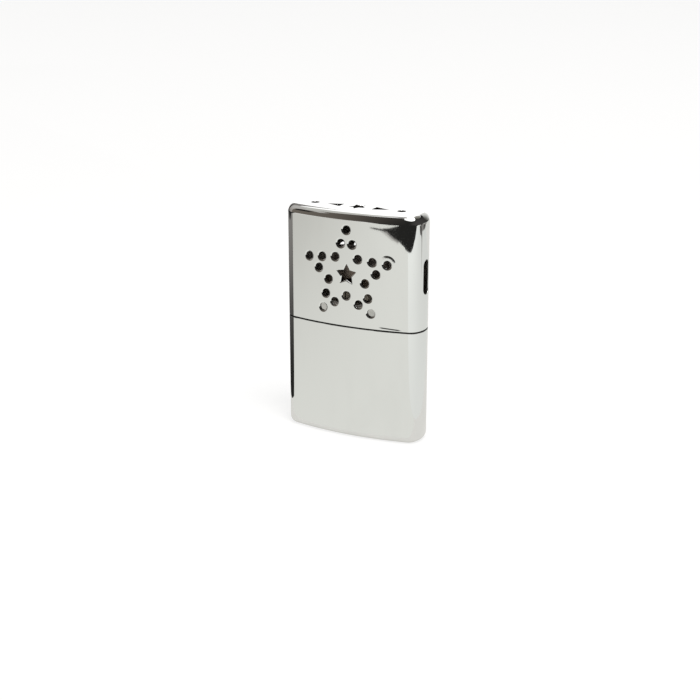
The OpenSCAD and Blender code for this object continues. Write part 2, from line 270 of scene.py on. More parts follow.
class Graph:
    """Adds nodes to one tree: a finish, the world's light or a shape."""

    def __init__(self, tree):
        self.tree = tree
        tree.nodes.clear()

    def node(self, kind, settings=None, sockets=None):
        """A node: its settings are set first, then each socket gets its value or its links."""
        node = self.tree.nodes.new(kind)
        for key, value in (settings or {}).items():
            if key == "stops":
                ramp = node.color_ramp.elements
                for _ in range(len(value) - len(ramp)):
                    ramp.new(0.5)
                for stop, (place, shade) in zip(ramp, value):
                    stop.position, stop.color = place, (*shade, 1)
            else:
                setattr(node, key, value)
        for key, value in (sockets or {}).items():
            socket = pick(node.inputs, key)
            for item in value if isinstance(value, list) else [value]:
                if isinstance(item, Wire):
                    self.tree.links.new(item.socket, socket)
                else:
                    socket.default_value = item
        shown = [s for s in node.outputs if s.enabled]
        return Wire(self, shown[0] if shown else node.inputs[0])

    def blend(self, factor, a, b):
        """Colour a turning into colour b."""
        return self.node("ShaderNodeMix", {"data_type": "RGBA"}, {
            "Factor_Float": factor, "A_Color": opaque(a),
            "B_Color": opaque(b)})["Result_Color"]

    def place(self, stretch=(1, 1, 1)):
        """Object coordinates, in metres, stretched along the axes."""
        spot = self.node("ShaderNodeTexCoord")["Object"]
        if stretch == (1, 1, 1):
            return spot
        return self.node("ShaderNodeVectorMath", {"operation": "MULTIPLY"},
                         {0: spot, 1: stretch})

    def parts(self, vector):
        """X, Y and Z of a vector."""
        split = self.node("ShaderNodeSeparateXYZ", None, {0: vector})
        return split["X"], split["Y"], split["Z"]

    def grain(self, size, detail=3.0, rough=0.5, stretch=(1, 1, 1), warp=0.0):
        """Noise whose patches are about size across."""
        return self.node("ShaderNodeTexNoise", {"noise_dimensions": "3D"},
                         {"Vector": self.place(stretch), "Scale": 1 / size, "Detail": detail,
                          "Roughness": rough, "Distortion": warp})["Fac"]

    def away(self, point):
        """Distance from a point."""
        return self.node("ShaderNodeVectorMath", {"operation": "DISTANCE"},
                         {0: self.place(), 1: point})["Value"]

    def bump(self, height, strength, depth):
        """Normal of a relief that is depth high where height is 1."""
        return self.node("ShaderNodeBump", None, {
            "Height": height, "Strength": strength, "Distance": depth})

    def surface(self, sockets):
        """Shades the surface with one Principled shader."""
        ready = {key: opaque(value) if "Color" in key else value
                 for key, value in sockets.items()}
        shader = self.node("ShaderNodeBsdfPrincipled", None, ready)
        self.node("ShaderNodeOutputMaterial", None, {"Surface": shader})


def opaque(value):
    """A colour with its alpha, or a wire as it is."""
    return value if isinstance(value, Wire) else (*value[:3], 1)


def toned(colour_rgb, share):
    """A colour made darker, or brighter where share is above 1."""
    return [min(1, share * c) for c in colour_rgb]


def material(name, paint, colours):
    """The material of that name, painted once."""
    found = bpy.data.materials.get(name)
    if found is None:
        found = bpy.data.materials.new(name)
        found.use_nodes = True
        paint(Graph(found.node_tree), colours)
    return found


# ---------------------------------------------------------------- finishes


def hairlines(graph, width, run, axis, amount):
    """Thin scratches along an axis, 1 on a scratch; amount is the share of lines that show."""
    stretch = tuple(width / run if k == axis else 1 for k in range(3))
    fine = graph.grain(width, detail=1, stretch=stretch, warp=0.3)
    return fine.fade(0.5 + 0.35 * (1 - amount), 0.5 + 0.35 * (1 - amount) + 0.06)


def paint_chrome(graph, colours):
    """Mirror plating: faint smears, hairlines from the pocket, a trace of waviness, painted
    shade along the seam, and the scuff and the dent on the front."""
    smears = graph.grain(14 * MM, detail=4, stretch=(1, 1, 0.4), warp=0.4).fade(0.45, 0.75)
    specks = graph.grain(1.1 * MM, detail=2).fade(0.62, 0.8)
    upright = hairlines(graph, 0.12 * MM, 9 * MM, 2, 0.62)
    across = hairlines(graph, 0.10 * MM, 5 * MM, 0, 0.55)
    lines = upright * 0.6 + across * 0.4
    waves = graph.grain(9 * MM, detail=1)
    x, y, z = graph.parts(graph.place())
    front = y < 0.0
    over_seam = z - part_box("tank_shell")[1].z
    # Painted shade: a dark, dull band along the seam, where the gap between lid and tank is in shade
    seam_shade = (abs(over_seam) + graph.grain(3 * MM) * 0.3 * MM).fade(0.56 * MM, 0.34 * MM)
    scuff = abs(over_seam - SCUFF_RISE + x * SCUFF_SLOPE).fade(0.36 * MM, 0.16 * MM)
    scuff = scuff * abs(x - SCUFF_X).fade(5.2 * MM, 3.2 * MM) * front
    # The scuff, a real mark of wear, joins the painted shade of the seam
    seam_shade = seam_shade.most(scuff)
    dent = abs(graph.away(DENT) - DENT_RADIUS).fade(1.1 * MM, 0.0)
    dent = dent * graph.away(DENT + DENT_SIDE).fade(4.2 * MM, 1.6 * MM) * front
    plated = graph.blend(smears * 0.35, colours.chrome, toned(colours.chrome, 0.94))
    roughness = 0.022 + smears * 0.014 + specks * 0.01 + lines * 0.02 + seam_shade * 0.4
    relief = dent + (waves * 0.9 - lines * 0.02) * 0.025
    graph.surface({
        "Base Color": graph.blend(seam_shade, plated, (0.02, 0.019, 0.017)),
        "Metallic": 1 - seam_shade * 0.8, "Roughness": roughness + dent.fade(0.0, 0.5) * 0.18,
        "Normal": graph.bump(relief, 1.0, 0.12 * MM)})


def paint_lid_shade(graph, colours):
    """Inside of the lid: dulled steel, darkened with painted shade of the closed lid."""
    clouds = graph.grain(6 * MM, detail=5, warp=0.5)
    dust = graph.grain(0.5 * MM, detail=3)
    # Painted shade: a dark base colour, paler in cloudy patches
    pale = graph.blend(clouds.fade(0.35, 0.75), colours.soot, toned(colours.soot, 2.6))
    graph.surface({
        "Base Color": pale, "Metallic": 0.55, "Roughness": 0.5 + dust * 0.3,
        "Normal": graph.bump(dust, 0.3, 0.02 * MM)})


def paint_collar(graph, colours):
    """Drawn steel, satin, with upright rub marks from the lid and painted shade along the seam."""
    _, _, height = graph.parts(graph.place())
    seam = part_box("tank_shell")[1].z
    rubs = hairlines(graph, 0.16 * MM, 12 * MM, 2, 0.8)
    clouds = graph.grain(5 * MM, detail=4, warp=0.3)
    # Painted shade: the collar turns dark at and below the seam, in the gap under the lid
    seam_shade = height.fade(seam + 0.9 * MM, seam + 0.3 * MM)
    bare = graph.blend(clouds.fade(0.4, 0.7), colours.steel, toned(colours.steel, 0.8))
    rubbed = graph.blend(rubs * 0.4, bare, toned(colours.steel, 1.25))
    graph.surface({
        "Base Color": graph.blend(seam_shade, rubbed, (0.012, 0.011, 0.010)),
        "Metallic": 1 - seam_shade * 0.8,
        "Roughness": 0.20 + clouds * 0.14 + rubs * 0.1 + seam_shade * 0.3,
        "Normal": graph.bump(rubs, 0.25, 0.012 * MM)})


def paint_neck(graph, colours):
    """Turned and pressed steel of the filler neck and its grille, a little stained by fuel."""
    stains = graph.grain(3 * MM, detail=5, warp=0.8).fade(0.45, 0.7)
    rings = hairlines(graph, 0.09 * MM, 6 * MM, 0, 0.8)
    graph.surface({
        "Base Color": graph.blend(stains * 0.6, colours.steel, (0.42, 0.38, 0.31)),
        "Metallic": 1.0, "Roughness": 0.18 + stains * 0.16 + rings * 0.08,
        "Normal": graph.bump(rings, 0.25, 0.01 * MM)})


def paint_scorched(graph, colours):
    """Steel browned by heat: straw low down, darker brown towards the top, soot in patches."""
    _, _, height = graph.parts(graph.place())
    low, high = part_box("burner_frame")[0].z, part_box("burner_cover")[1].z
    clouds = graph.grain(4 * MM, detail=5, warp=0.7)
    heat = (height - low) / (high - low) + (clouds - 0.5) * 0.55
    tint = graph.node("ShaderNodeValToRGB", {"stops": [
        (0.0, (0.50, 0.46, 0.40)), (0.3, (0.40, 0.33, 0.25)), (0.55, colours.scorched),
        (0.85, colours.temper), (1.0, (0.24, 0.21, 0.185))]}, {"Fac": heat})["Color"]
    # Real soot on the burner, in random patches
    soot = graph.grain(2.2 * MM, detail=6, rough=0.65).fade(0.55, 0.72)
    scale = graph.grain(0.22 * MM, detail=3)
    graph.surface({
        "Base Color": graph.blend(soot * 0.6, tint, (0.05, 0.045, 0.04)),
        "Metallic": 0.85 - soot * 0.4, "Roughness": 0.46 + soot * 0.25 + scale * 0.14,
        "Normal": graph.bump(scale + soot * 0.5, 0.35, 0.02 * MM)})


def paint_wire(graph, colours):
    """Nickel wire with brown heat marks."""
    marks = graph.grain(1.6 * MM, detail=3).fade(0.42, 0.68)
    graph.surface({
        "Base Color": graph.blend(marks, colours.wire, toned(colours.wire, 0.55)),
        "Metallic": 1.0, "Roughness": 0.3 + marks * 0.25})


def paint_glass(graph, colours):
    """Glass fibre with the grey bloom of the catalyst."""
    bloom = graph.grain(3.5 * MM, detail=4, warp=0.6).fade(0.35, 0.68)
    strands = graph.grain(0.18 * MM, detail=2, stretch=(0.25, 1, 1), warp=1.2)
    graph.surface({
        "Base Color": graph.blend(bloom, colours.glass, colours.catalyst),
        "Roughness": 0.75 + strands * 0.2, "Sheen Weight": 0.25,
        "Normal": graph.bump(strands, 0.6, 0.06 * MM)})


def paint_cotton(graph, colours):
    """Soft cotton wadding, a little darker in the hollows of its relief: painted shade."""
    hollows = graph.grain(4 * MM, detail=5, warp=0.5)
    strands = graph.grain(0.25 * MM, detail=3, stretch=(0.3, 1, 1), warp=1.5)
    # Painted shade: the colour is darker where the relief of the hollows dips
    graph.surface({
        "Base Color": graph.blend(hollows.fade(0.3, 0.7), toned(colours.cotton, 0.86),
                                  colours.cotton),
        "Roughness": 0.9 + strands * 0.08, "Sheen Weight": 0.4,
        "Normal": graph.bump(strands + hollows, 0.7, 0.12 * MM)})


def paint_felt(graph, colours):
    """Pressed wool felt, damp with fuel in patches."""
    damp = graph.grain(3 * MM, detail=4, warp=0.4).fade(0.4, 0.65)
    wool = graph.grain(0.2 * MM, detail=4, rough=0.7, warp=1.5)
    graph.surface({
        "Base Color": graph.blend(damp, colours.felt, toned(colours.felt, 0.6)),
        "Roughness": 0.92 - damp * 0.2, "Sheen Weight": 0.3,
        "Normal": graph.bump(wool, 0.8, 0.1 * MM)})


FINISHES = {
    "case_chrome": paint_chrome, "lid_soot": paint_lid_shade, "collar_steel": paint_collar,
    "neck_steel": paint_neck, "scorched_steel": paint_scorched, "gauze_wire": paint_wire,
    "glass_fibre": paint_glass, "cotton": paint_cotton, "felt": paint_felt,
}


def finish(name):
    """The material of that finish in the scene's colours."""
    return material(name + "_finish", FINISHES[name], bpy.context.scene.warmer_colours)


# ---------------------------------------------------------------- outlines and skins


def rounded(corners, step=COARSE, closed=False):
    """Points and directions along a line whose corners (x, y, radius) are turned round.
    A direction points to the right of the way the line runs."""
    spots = [np.array(c[:2], float) for c in corners]
    count = len(corners)
    points, sides = [], []
    for i, (*_, radius) in enumerate(corners):
        inner = closed or 0 < i < count - 1
        before = spots[i] - spots[i - 1] if closed or i > 0 else spots[1] - spots[0]
        after = spots[(i + 1) % count] - spots[i] if closed or i < count - 1 else before
        before, after = (v / np.linalg.norm(v) for v in (before, after))
        turn = math.atan2(before[0] * after[1] - before[1] * after[0], before @ after)
        reach = radius * math.tan(abs(turn) / 2) if inner else 0
        right = np.array([before[1], -before[0]])
        way = math.copysign(1, turn)
        centre = spots[i] - before * reach - right * radius * way
        steps = max(1, math.ceil(abs(turn) / step)) if inner and radius > 0 else 0
        for k in range(steps + 1):
            angle = turn * (k / steps if steps else 0.5 if inner else 0)
            side = np.array([right[0] * math.cos(angle) - right[1] * math.sin(angle),
                             right[0] * math.sin(angle) + right[1] * math.cos(angle)])
            point = centre + side * radius * way if steps else spots[i]
            if not points or np.linalg.norm(point - points[-1]) > 1e-8:
                points.append(point)
                sides.append(side)
    return np.array(points), np.array(sides)


def star(tip, notch, corner):
    """Outline of a star with one tip up."""
    corners = []
    for i in range(2 * STAR_POINTS):
        reach = notch if i % 2 else tip
        angle = math.pi / 2 + math.pi * i / STAR_POINTS
        corners.append((reach * math.cos(angle), reach * math.sin(angle), corner))
    return rounded(corners, closed=True)


def box_outline(width, height, corner, step=COARSE):
    """Outline of an upright rectangle with rounded corners."""
    return rounded([(x * width / 2, y * height / 2, corner)
                    for x, y in ((-1, -1), (1, -1), (1, 1), (-1, 1))], step, closed=True)


def circle(radius, steps=40):
    """Outline of a circle."""
    angles = np.arange(steps) * 2 * math.pi / steps
    sides = np.stack([np.cos(angles), np.sin(angles)], axis=1)
    return radius * sides, sides


class Plan:
    """A closed loop of arcs seen from above. Rows are (centre x, centre y, radius, angle)."""

    def __init__(self, rows):
        table = np.array(rows)
        self.centres, self.radii = table[:, :2], table[:, 2:3]
        self.sides = self.lean = np.stack([np.cos(table[:, 3]), np.sin(table[:, 3])], axis=1)

    def ring(self, inset):
        """The loop's points, moved inwards by inset."""
        return self.centres + (self.radii - inset) * self.sides


class CasePlan(Plan):
    """The case from above: crowned faces, rounded corners and rounded narrow sides."""

    def __init__(self, case):
        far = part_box("lid_shell")[1]
        self.crown, self.side, self.corner = (case.crown_radius, case.side_radius,
                                              case.corner_radius)
        self.crown_y, self.side_x = self.crown - far.y, far.x - self.side
        span = math.hypot(self.side_x, self.crown_y)
        crown_reach, side_reach = self.crown - self.corner, self.side - self.corner
        along = (crown_reach ** 2 - side_reach ** 2 + span ** 2) / (2 * span)
        across = math.sqrt(crown_reach ** 2 - along ** 2)
        self.corner_x = (self.side_x * along + self.crown_y * across) / span
        self.corner_y = (self.crown_y * along - self.side_x * across) / span - self.crown_y
        self.low = math.atan2(self.corner_y, self.corner_x - self.side_x)
        self.high = math.atan2(self.corner_y + self.crown_y, self.corner_x)
        low, high, turn = self.low, self.high, math.pi
        arcs = [
            (self.side_x, 0, self.side, -low, low, 16),
            (self.corner_x, self.corner_y, self.corner, low, high, 14),
            (0, -self.crown_y, self.crown, high, turn - high, 36),
            (-self.corner_x, self.corner_y, self.corner, turn - high, turn - low, 14)]
        half = [(x, y, radius, start + (end - start) * i / steps)
                for x, y, radius, start, end, steps in arcs for i in range(steps)]
        super().__init__(half + [(-x, -y, radius, angle + turn)
                                 for x, y, radius, angle in half])
        self.blend = case.blend
        self.lean = self.eased(self.sides)

    def eased(self, sides):
        """Directions around the plan, evened out where one arc runs into the next, as
        drawn metal does."""
        quarter = np.abs(sides)
        past_end = 0.05
        stops = np.array([-0.2, 0, self.low, self.high, math.pi / 2, math.pi / 2 + past_end])
        bends = np.array([self.side, self.side, self.corner, self.crown, self.crown])
        run = np.concatenate([[0], np.cumsum(bends * np.diff(stops))])
        place = np.interp(np.arctan2(quarter[:, 1], quarter[:, 0]), stops, run)
        reach = np.linspace(-1, 1, 9)[:, None] * self.blend
        turn = np.interp(place + reach, run, stops).mean(axis=0)
        return np.stack([np.cos(turn), np.sin(turn)], axis=1) * np.where(sides < 0, -1, 1)

    def skin(self, points, edge, level):
        """Depth of points under the outer skin and its directions there; the skin turns
        over with radius edge into a flat top at height level."""
        corner = np.array([self.corner_x, self.corner_y])
        quarter = np.abs(points[:, :2])
        angle = np.arctan2(*(quarter - corner).T[::-1])[:, None]
        zones = [angle < self.low, angle > self.high]
        centre = np.select(zones, [(self.side_x, 0), (0, -self.crown_y)], corner)
        radius = np.select(zones, [self.side, self.crown], self.corner)
        away = quarter - centre
        reach = np.linalg.norm(away, axis=1, keepdims=True)
        rise = np.maximum(points[:, 2:] - level + edge, 0)
        level_part = np.maximum(edge - (radius - reach), 0)
        level_side = self.eased(away / reach * np.where(points[:, :2] < 0, -1, 1))
        out = np.hstack([level_part * level_side, rise])
        size = np.linalg.norm(out, axis=1, keepdims=True)
        return (edge - size)[:, 0], out / np.maximum(size, 1e-9)


def straight(node):
    """Length of the straight sides of a node with half-round ends."""
    low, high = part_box(node)
    return high.x - low.x - high.y + low.y


def obround(node, runs=1, steps=20):
    """The plan of a node with straight sides and half-round ends, from its box."""
    low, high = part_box(node)
    radius = (high.y - low.y) / 2
    run = (high.x - low.x) / 2 - radius
    rows = [(run, 0, radius, -math.pi / 2 + math.pi * i / steps) for i in range(steps + 1)]
    rows += [(run - 2 * run * i / runs, 0, radius, math.pi / 2) for i in range(1, runs)]
    return Plan(rows + [(-x, -y, radius, angle + math.pi) for x, y, radius, angle in rows])


# ---------------------------------------------------------------- meshes


def loft(name, rings, closed=False):
    """A mesh over rings of equal length; open ends are capped, a closed row of rings
    joins up. Faces point outwards."""
    rings = np.asarray(rings)
    rows, count = rings.shape[:2]
    faces = []
    for i in range(rows if closed else rows - 1):
        here, there = i * count, (i + 1) % rows * count
        for j in range(count):
            k = (j + 1) % count
            faces.append((here + j, here + k, there + k, there + j))
    if not closed:
        faces.append(tuple(range(count))[::-1])
        faces.append(tuple(range((rows - 1) * count, rows * count)))
    mesh = bpy.data.meshes.new(name)
    mesh.from_pydata(rings.reshape(-1, 3).tolist(), [], faces)
    cage = bmesh.new()
    cage.from_mesh(mesh)
    if cage.calc_volume(signed=True) < 0:
        bmesh.ops.reverse_faces(cage, faces=cage.faces)
    cage.to_mesh(mesh)
    cage.free()
    return mesh


def swept(name, plan, corners, step=COARSE, closed=False):
    """A piece made by sweeping a profile round a plan. Corners of the profile are (inset,
    height, radius), and its directions become the piece's smooth normals."""
    points, sides = rounded(corners, step, closed)
    rings = [np.column_stack([plan.ring(inset), np.full(len(plan.sides), height)])
             for inset, height in points]
    mesh = loft(name, rings, closed)
    smooth = np.concatenate([np.column_stack([-side[0] * plan.lean,
                                              np.full(len(plan.sides), side[1])])
                             for side in sides])
    first = mesh.polygons[0]
    if Vector(smooth[first.vertices[0]]).dot(first.normal) < 0:
        smooth = -smooth
    shade(mesh, smooth[vertex_index(mesh)])
    return new_object(name, mesh)


def punch(name, outline, lip, depth, bend=0.0, below=1.6 * MM):
    """A cutter for a hole with a rolled-in edge. It points along +Z and its lip lies on a
    face that bends away with radius bend along X, or on a flat one."""
    points, sides = outline
    above = 1.2 * MM
    turn = 2 * math.atan(depth / lip)
    curl = lip / math.sin(turn)
    lip_arc = [(lip - curl * math.sin(a), -curl * (1 - math.cos(a)))
               for a in np.linspace(0, turn, 9)]
    rings = []
    for offset, height in [(lip, above)] + lip_arc + [(0, -below)]:
        ring = points + sides * offset
        fall = bend - np.sqrt(bend ** 2 - ring[:, 0] ** 2) if bend else np.zeros(len(ring))
        rings.append(np.column_stack([ring, height - fall]))
    return loft(name, rings)


def vertex_index(mesh):
    """The vertex of each face corner."""
    index = np.empty(len(mesh.loops), np.int32)
    mesh.loops.foreach_get("vertex_index", index)
    return index


def shade(mesh, normals=None, sharp=None):
    """Smooth shading, with given normals for the face corners or with sharp edges."""
    mesh.shade_smooth()
    if sharp:
        mesh.set_sharp_from_angle(angle=sharp)
    if normals is not None:
        mesh.normals_split_custom_set(normals.tolist())


def new_object(name, mesh):
    """An object at the origin, in the scene."""
    piece = bpy.data.objects.new(name, mesh)
    bpy.context.scene.collection.objects.link(piece)
    return piece


def discard(*pieces):
    """Removes helper objects."""
    for piece in pieces:
        bpy.data.objects.remove(piece)


def joined(name, parts):
    """One mesh from several, each with its placing matrix."""
    cage = bmesh.new()
    for mesh, matrix in parts:
        copy = mesh.copy()
        copy.transform(matrix)
        cage.from_mesh(copy)
        bpy.data.meshes.remove(copy)
    mesh = bpy.data.meshes.new(name)
    cage.to_mesh(mesh)
    cage.free()
    return mesh


def settle(piece):
    """Makes the piece's modified shape its plain mesh."""
    bpy.context.view_layer.update()
    graph = bpy.context.evaluated_depsgraph_get()
    mesh = bpy.data.meshes.new_from_object(piece.evaluated_get(graph))
    piece.modifiers.clear()
    piece.data = mesh
    mesh.name = piece.name
    return piece


def even_normals(piece):
    """Lets large faces keep their direction beside small rounded ones."""
    shade(piece.data, sharp=SHARP)
    weigh = piece.modifiers.new("even", "WEIGHTED_NORMAL")
    weigh.mode, weigh.weight, weigh.keep_sharp = "FACE_AREA", 60, True
    return settle(piece)


def dress(piece, finish_name, body, node):
    """Gives a piece its finish and its body, and hides the node that it stands for."""
    if not piece.data.materials:
        piece.data.materials.append(finish(finish_name))
    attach(piece, body)
    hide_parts(node)
    return piece


# ---------------------------------------------------------------- shape graphs


class Shape(Graph):
    """A geometry tree with named inputs. It ends in Realize Instances and Set Material."""

    def __init__(self, name, inputs):
        super().__init__(bpy.data.node_groups.new(name, "GeometryNodeTree"))
        face = self.tree.interface
        face.new_socket("Geometry", in_out="INPUT", socket_type="NodeSocketGeometry")
        face.new_socket("Geometry", in_out="OUTPUT", socket_type="NodeSocketGeometry")
        kinds = {float: "Float", int: "Int", bpy.types.Object: "Object",
                 bpy.types.Material: "Material"}
        self.values = dict(inputs)
        for title, value in inputs.items():
            face.new_socket(title, in_out="INPUT",
                            socket_type="NodeSocket" + kinds[type(value)])
        self.start = self.node("NodeGroupInput")

    def tool(self, title):
        """The geometry of the object in that input."""
        return self.node("GeometryNodeObjectInfo", {"transform_space": "ORIGINAL"},
                         {"Object": self.start[title]})["Geometry"]

    def vector(self, x=0.0, y=0.0, z=0.0):
        """A vector from numbers or wires."""
        return self.node("ShaderNodeCombineXYZ", None, {"X": x, "Y": y, "Z": z})

    def axes(self):
        """X, Y and Z of each point."""
        return self.parts(self.node("GeometryNodeInputPosition"))

    def moved(self, geometry, position):
        """The geometry with its points put at position."""
        return self.node("GeometryNodeSetPosition", None,
                         {"Geometry": geometry, "Position": position})

    def dropped(self, geometry, chosen, domain, mode="ALL"):
        """The geometry without its chosen points, edges or faces."""
        return self.node("GeometryNodeDeleteGeometry", {"domain": domain, "mode": mode},
                         {"Geometry": geometry, "Selection": chosen})

    def trimmed(self, geometry):
        """The geometry without the points that lie outside half-round ends: farther than
        the input Reach from a middle line of half length Run."""
        x, y, _ = self.axes()
        past = (abs(x) - self.start["Run"]).most(0.0)
        far = (past ** 2 + y ** 2) ** 0.5 > self.start["Reach"]
        return self.dropped(geometry, far, "POINT")

    def together(self, parts):
        """Several geometries as one."""
        return self.node("GeometryNodeJoinGeometry", None, {"Geometry": parts})

    def placed(self, points, instance, **more):
        """An instance on each point."""
        return self.node("GeometryNodeInstanceOnPoints", None,
                         {"Points": points, "Instance": instance, **more})

    def both_sides(self, front):
        """What is in front, and its copy turned round to the back."""
        turned = {"Geometry": front, "Rotation": Euler((0, 0, math.pi))}
        return [front, self.node("GeometryNodeTransform", None, turned)]

    def cut(self, tools):
        """The piece with the tools taken away."""
        real = self.node("GeometryNodeRealizeInstances", None,
                         {"Geometry": self.together(tools)})
        return self.node("GeometryNodeMeshBoolean",
                         {"operation": "DIFFERENCE", "solver": "MANIFOLD"},
                         {"Mesh 1": self.start["Geometry"], "Mesh 2": real})["Mesh"]

    def grow(self, geometry, piece):
        """Ends the tree with geometry, runs it on the piece and keeps the plain result."""
        whole = self.node("GeometryNodeRealizeInstances", None, {"Geometry": geometry})
        coated = self.node("GeometryNodeSetMaterial", None,
                           {"Geometry": whole, "Material": self.start["Finish"]})
        self.node("NodeGroupOutput", None, {"Geometry": coated})
        modifier = piece.modifiers.new("shape", "NODES")
        modifier.node_group = self.tree
        for item in self.tree.interface.items_tree:
            if item.in_out == "INPUT" and item.name in self.values:
                modifier[item.identifier] = self.values[item.name]
        slots = settle(piece).data.materials
        slots.clear()
        slots.append(self.values["Finish"])


# ---------------------------------------------------------------- the case


def lid_punches(holes, plan):
    """Cutters for the middle stars, the holes in the top and the side slots."""
    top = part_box("lid_shell")[1]
    lip, corner = holes.punch_lip, holes.punch_round
    tips = star(holes.mid_tip, holes.mid_notch, corner)[0]
    outward = tips / np.linalg.norm(tips, axis=1, keepdims=True)
    middle = punch("middle_star", (tips, outward), holes.mid_lip, holes.lip_depth, plan.crown)
    slot = punch("slot", box_outline(holes.slot_width, holes.slot_height,
                                     ROUND_END * holes.slot_width / 2, FINE),
                 lip, lip, plan.side)
    half, wide = holes.triangle_length / 2, holes.triangle_width / 2
    triangle = punch("triangle", rounded([
        (half, -wide, corner), (half, wide, corner), (-half, 0, corner)], closed=True),
        lip, lip)
    end_hole = punch("end_hole", circle(holes.end_hole / 2), lip, lip)
    top_star = punch("top_star", star(holes.top_tip, holes.top_notch, corner), lip, lip)

    front = Matrix.Translation((0, -top.y, top.z - holes.star_drop)) @ TO_FRONT
    side = (Matrix.Translation((top.x, 0, top.z - holes.slot_drop))
            @ Matrix.Rotation(math.pi / 2, 4, "Z") @ TO_FRONT)
    above = Matrix.Translation((0, 0, top.z))
    parts = [(middle, front), (middle, HALF_TURN @ front), (slot, side),
             (slot, HALF_TURN @ side), (top_star, above @ HALF_TURN)]
    for turn in (Matrix.Identity(4), HALF_TURN):
        for cutter, x in ((triangle, -holes.triangle_x), (end_hole, holes.end_hole_x)):
            parts.append((cutter, above @ turn @ Matrix.Translation((x, 0, 0))))
    return joined("lid_punches", parts)


def pierce(piece, holes, plan):
    """Punches the star of round holes through front and back, and the other holes."""
    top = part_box("lid_shell")[1]
    round_punch = new_object("round_punch", punch(
        "round_punch", circle(holes.hole / 2), holes.lip, holes.lip_depth, plan.crown))
    others = new_object("other_punches", lid_punches(holes, plan))
    shape = Shape("Pierced lid", {
        "Round punch": round_punch, "Other punches": others,
        "Tip radius": holes.tip_radius, "Notch radius": holes.notch_radius,
        "Star height": top.z - holes.star_drop, "Crown radius": plan.crown,
        "Half depth": top.y, "Finish": finish("case_chrome")})
    outline = shape.node("GeometryNodeCurveStar", None, {
        "Points": STAR_POINTS, "Outer Radius": shape.start["Tip radius"],
        "Inner Radius": shape.start["Notch radius"]})["Curve"]
    marks = shape.node("GeometryNodeResampleCurve", {"mode": "COUNT"},
                       {"Curve": outline, "Count": 4 * STAR_POINTS})
    up, across, _ = shape.axes()
    radius = shape.start["Crown radius"]
    bow = radius - (radius ** 2 - across ** 2) ** 0.5
    marks = shape.moved(marks, shape.vector(across, bow - shape.start["Half depth"],
                                            up + shape.start["Star height"]))
    where, _, _ = shape.axes()
    lean = where / radius
    turn = shape.node("FunctionNodeEulerToRotation", None, {"Euler": shape.vector(
        math.pi / 2, 0.0, lean.maths("ARCSINE", lean))})
    front = shape.placed(marks, shape.tool("Round punch"), Rotation=turn)
    shape.grow(shape.cut([*shape.both_sides(front), shape.tool("Other punches")]), piece)
    discard(round_punch, others)


def case_normals(piece, plan, edge, level, sheet):
    """True normals on the outer and inner skins; cut edges keep their own. Returns which
    faces lie on the inner skin."""
    mesh = piece.data
    shade(mesh, sharp=SHARP)
    points = np.array([v.co for v in mesh.vertices])
    depth, out = plan.skin(points, edge, level)
    corner = vertex_index(mesh)
    normals = np.zeros((len(corner), 3))
    inside = []
    near = 0.02 * MM
    for face in mesh.polygons:
        span = slice(face.loop_start, face.loop_start + face.loop_total)
        depths = depth[corner[span]]
        if np.all(np.abs(depths) < near):
            normals[span] = out[corner[span]]
        elif np.all(np.abs(depths - sheet) < near):
            normals[span] = -out[corner[span]]
            inside.append(face.index)
    mesh.normals_split_custom_set(normals.tolist())
    return inside


class WARMER_OT_lid(bpy.types.Operator):
    """Build the drawn lid, pierced with a star of holes in front and back"""

    bl_idname = "warmer.lid"
    bl_label = "Lid"

    def execute(self, context):
        case = context.scene.warmer_case
        plan = CasePlan(case)
        rim, top = (corner.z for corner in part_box("lid_shell"))
        edge, sheet = case.top_edge, case.sheet
        piece = swept("lid", plan, [
            (edge, top - sheet, 0), (sheet, top - sheet, edge - sheet),
            (sheet, rim, case.rim_round), (0, rim, case.rim_round), (0, top, edge),
            (edge, top, 0)], FINE)
        pierce(piece, context.scene.warmer_holes, plan)
        inside = case_normals(piece, plan, edge, top, sheet)
        piece.data.materials.append(finish("lid_soot"))
        for index in inside:
            piece.data.polygons[index].material_index = 1
        dress(piece, "case_chrome", "lid", "lid_shell")
        return {"FINISHED"}


class WARMER_OT_tank(bpy.types.Operator):
    """Build the drawn fuel tank"""

    bl_idname = "warmer.tank"
    bl_label = "Tank"

    def execute(self, context):
        case = context.scene.warmer_case
        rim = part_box("tank_shell")[1].z
        edge, sheet = case.bottom_edge, case.sheet
        piece = swept("tank", CasePlan(case), [
            (edge, 0, 0), (0, 0, edge), (0, rim, case.rim_round),
            (sheet, rim, case.rim_round), (sheet, sheet, edge - sheet), (edge, sheet, 0)],
            FINE)
        dress(piece, "case_chrome", "tank", "tank_shell")
        return {"FINISHED"}


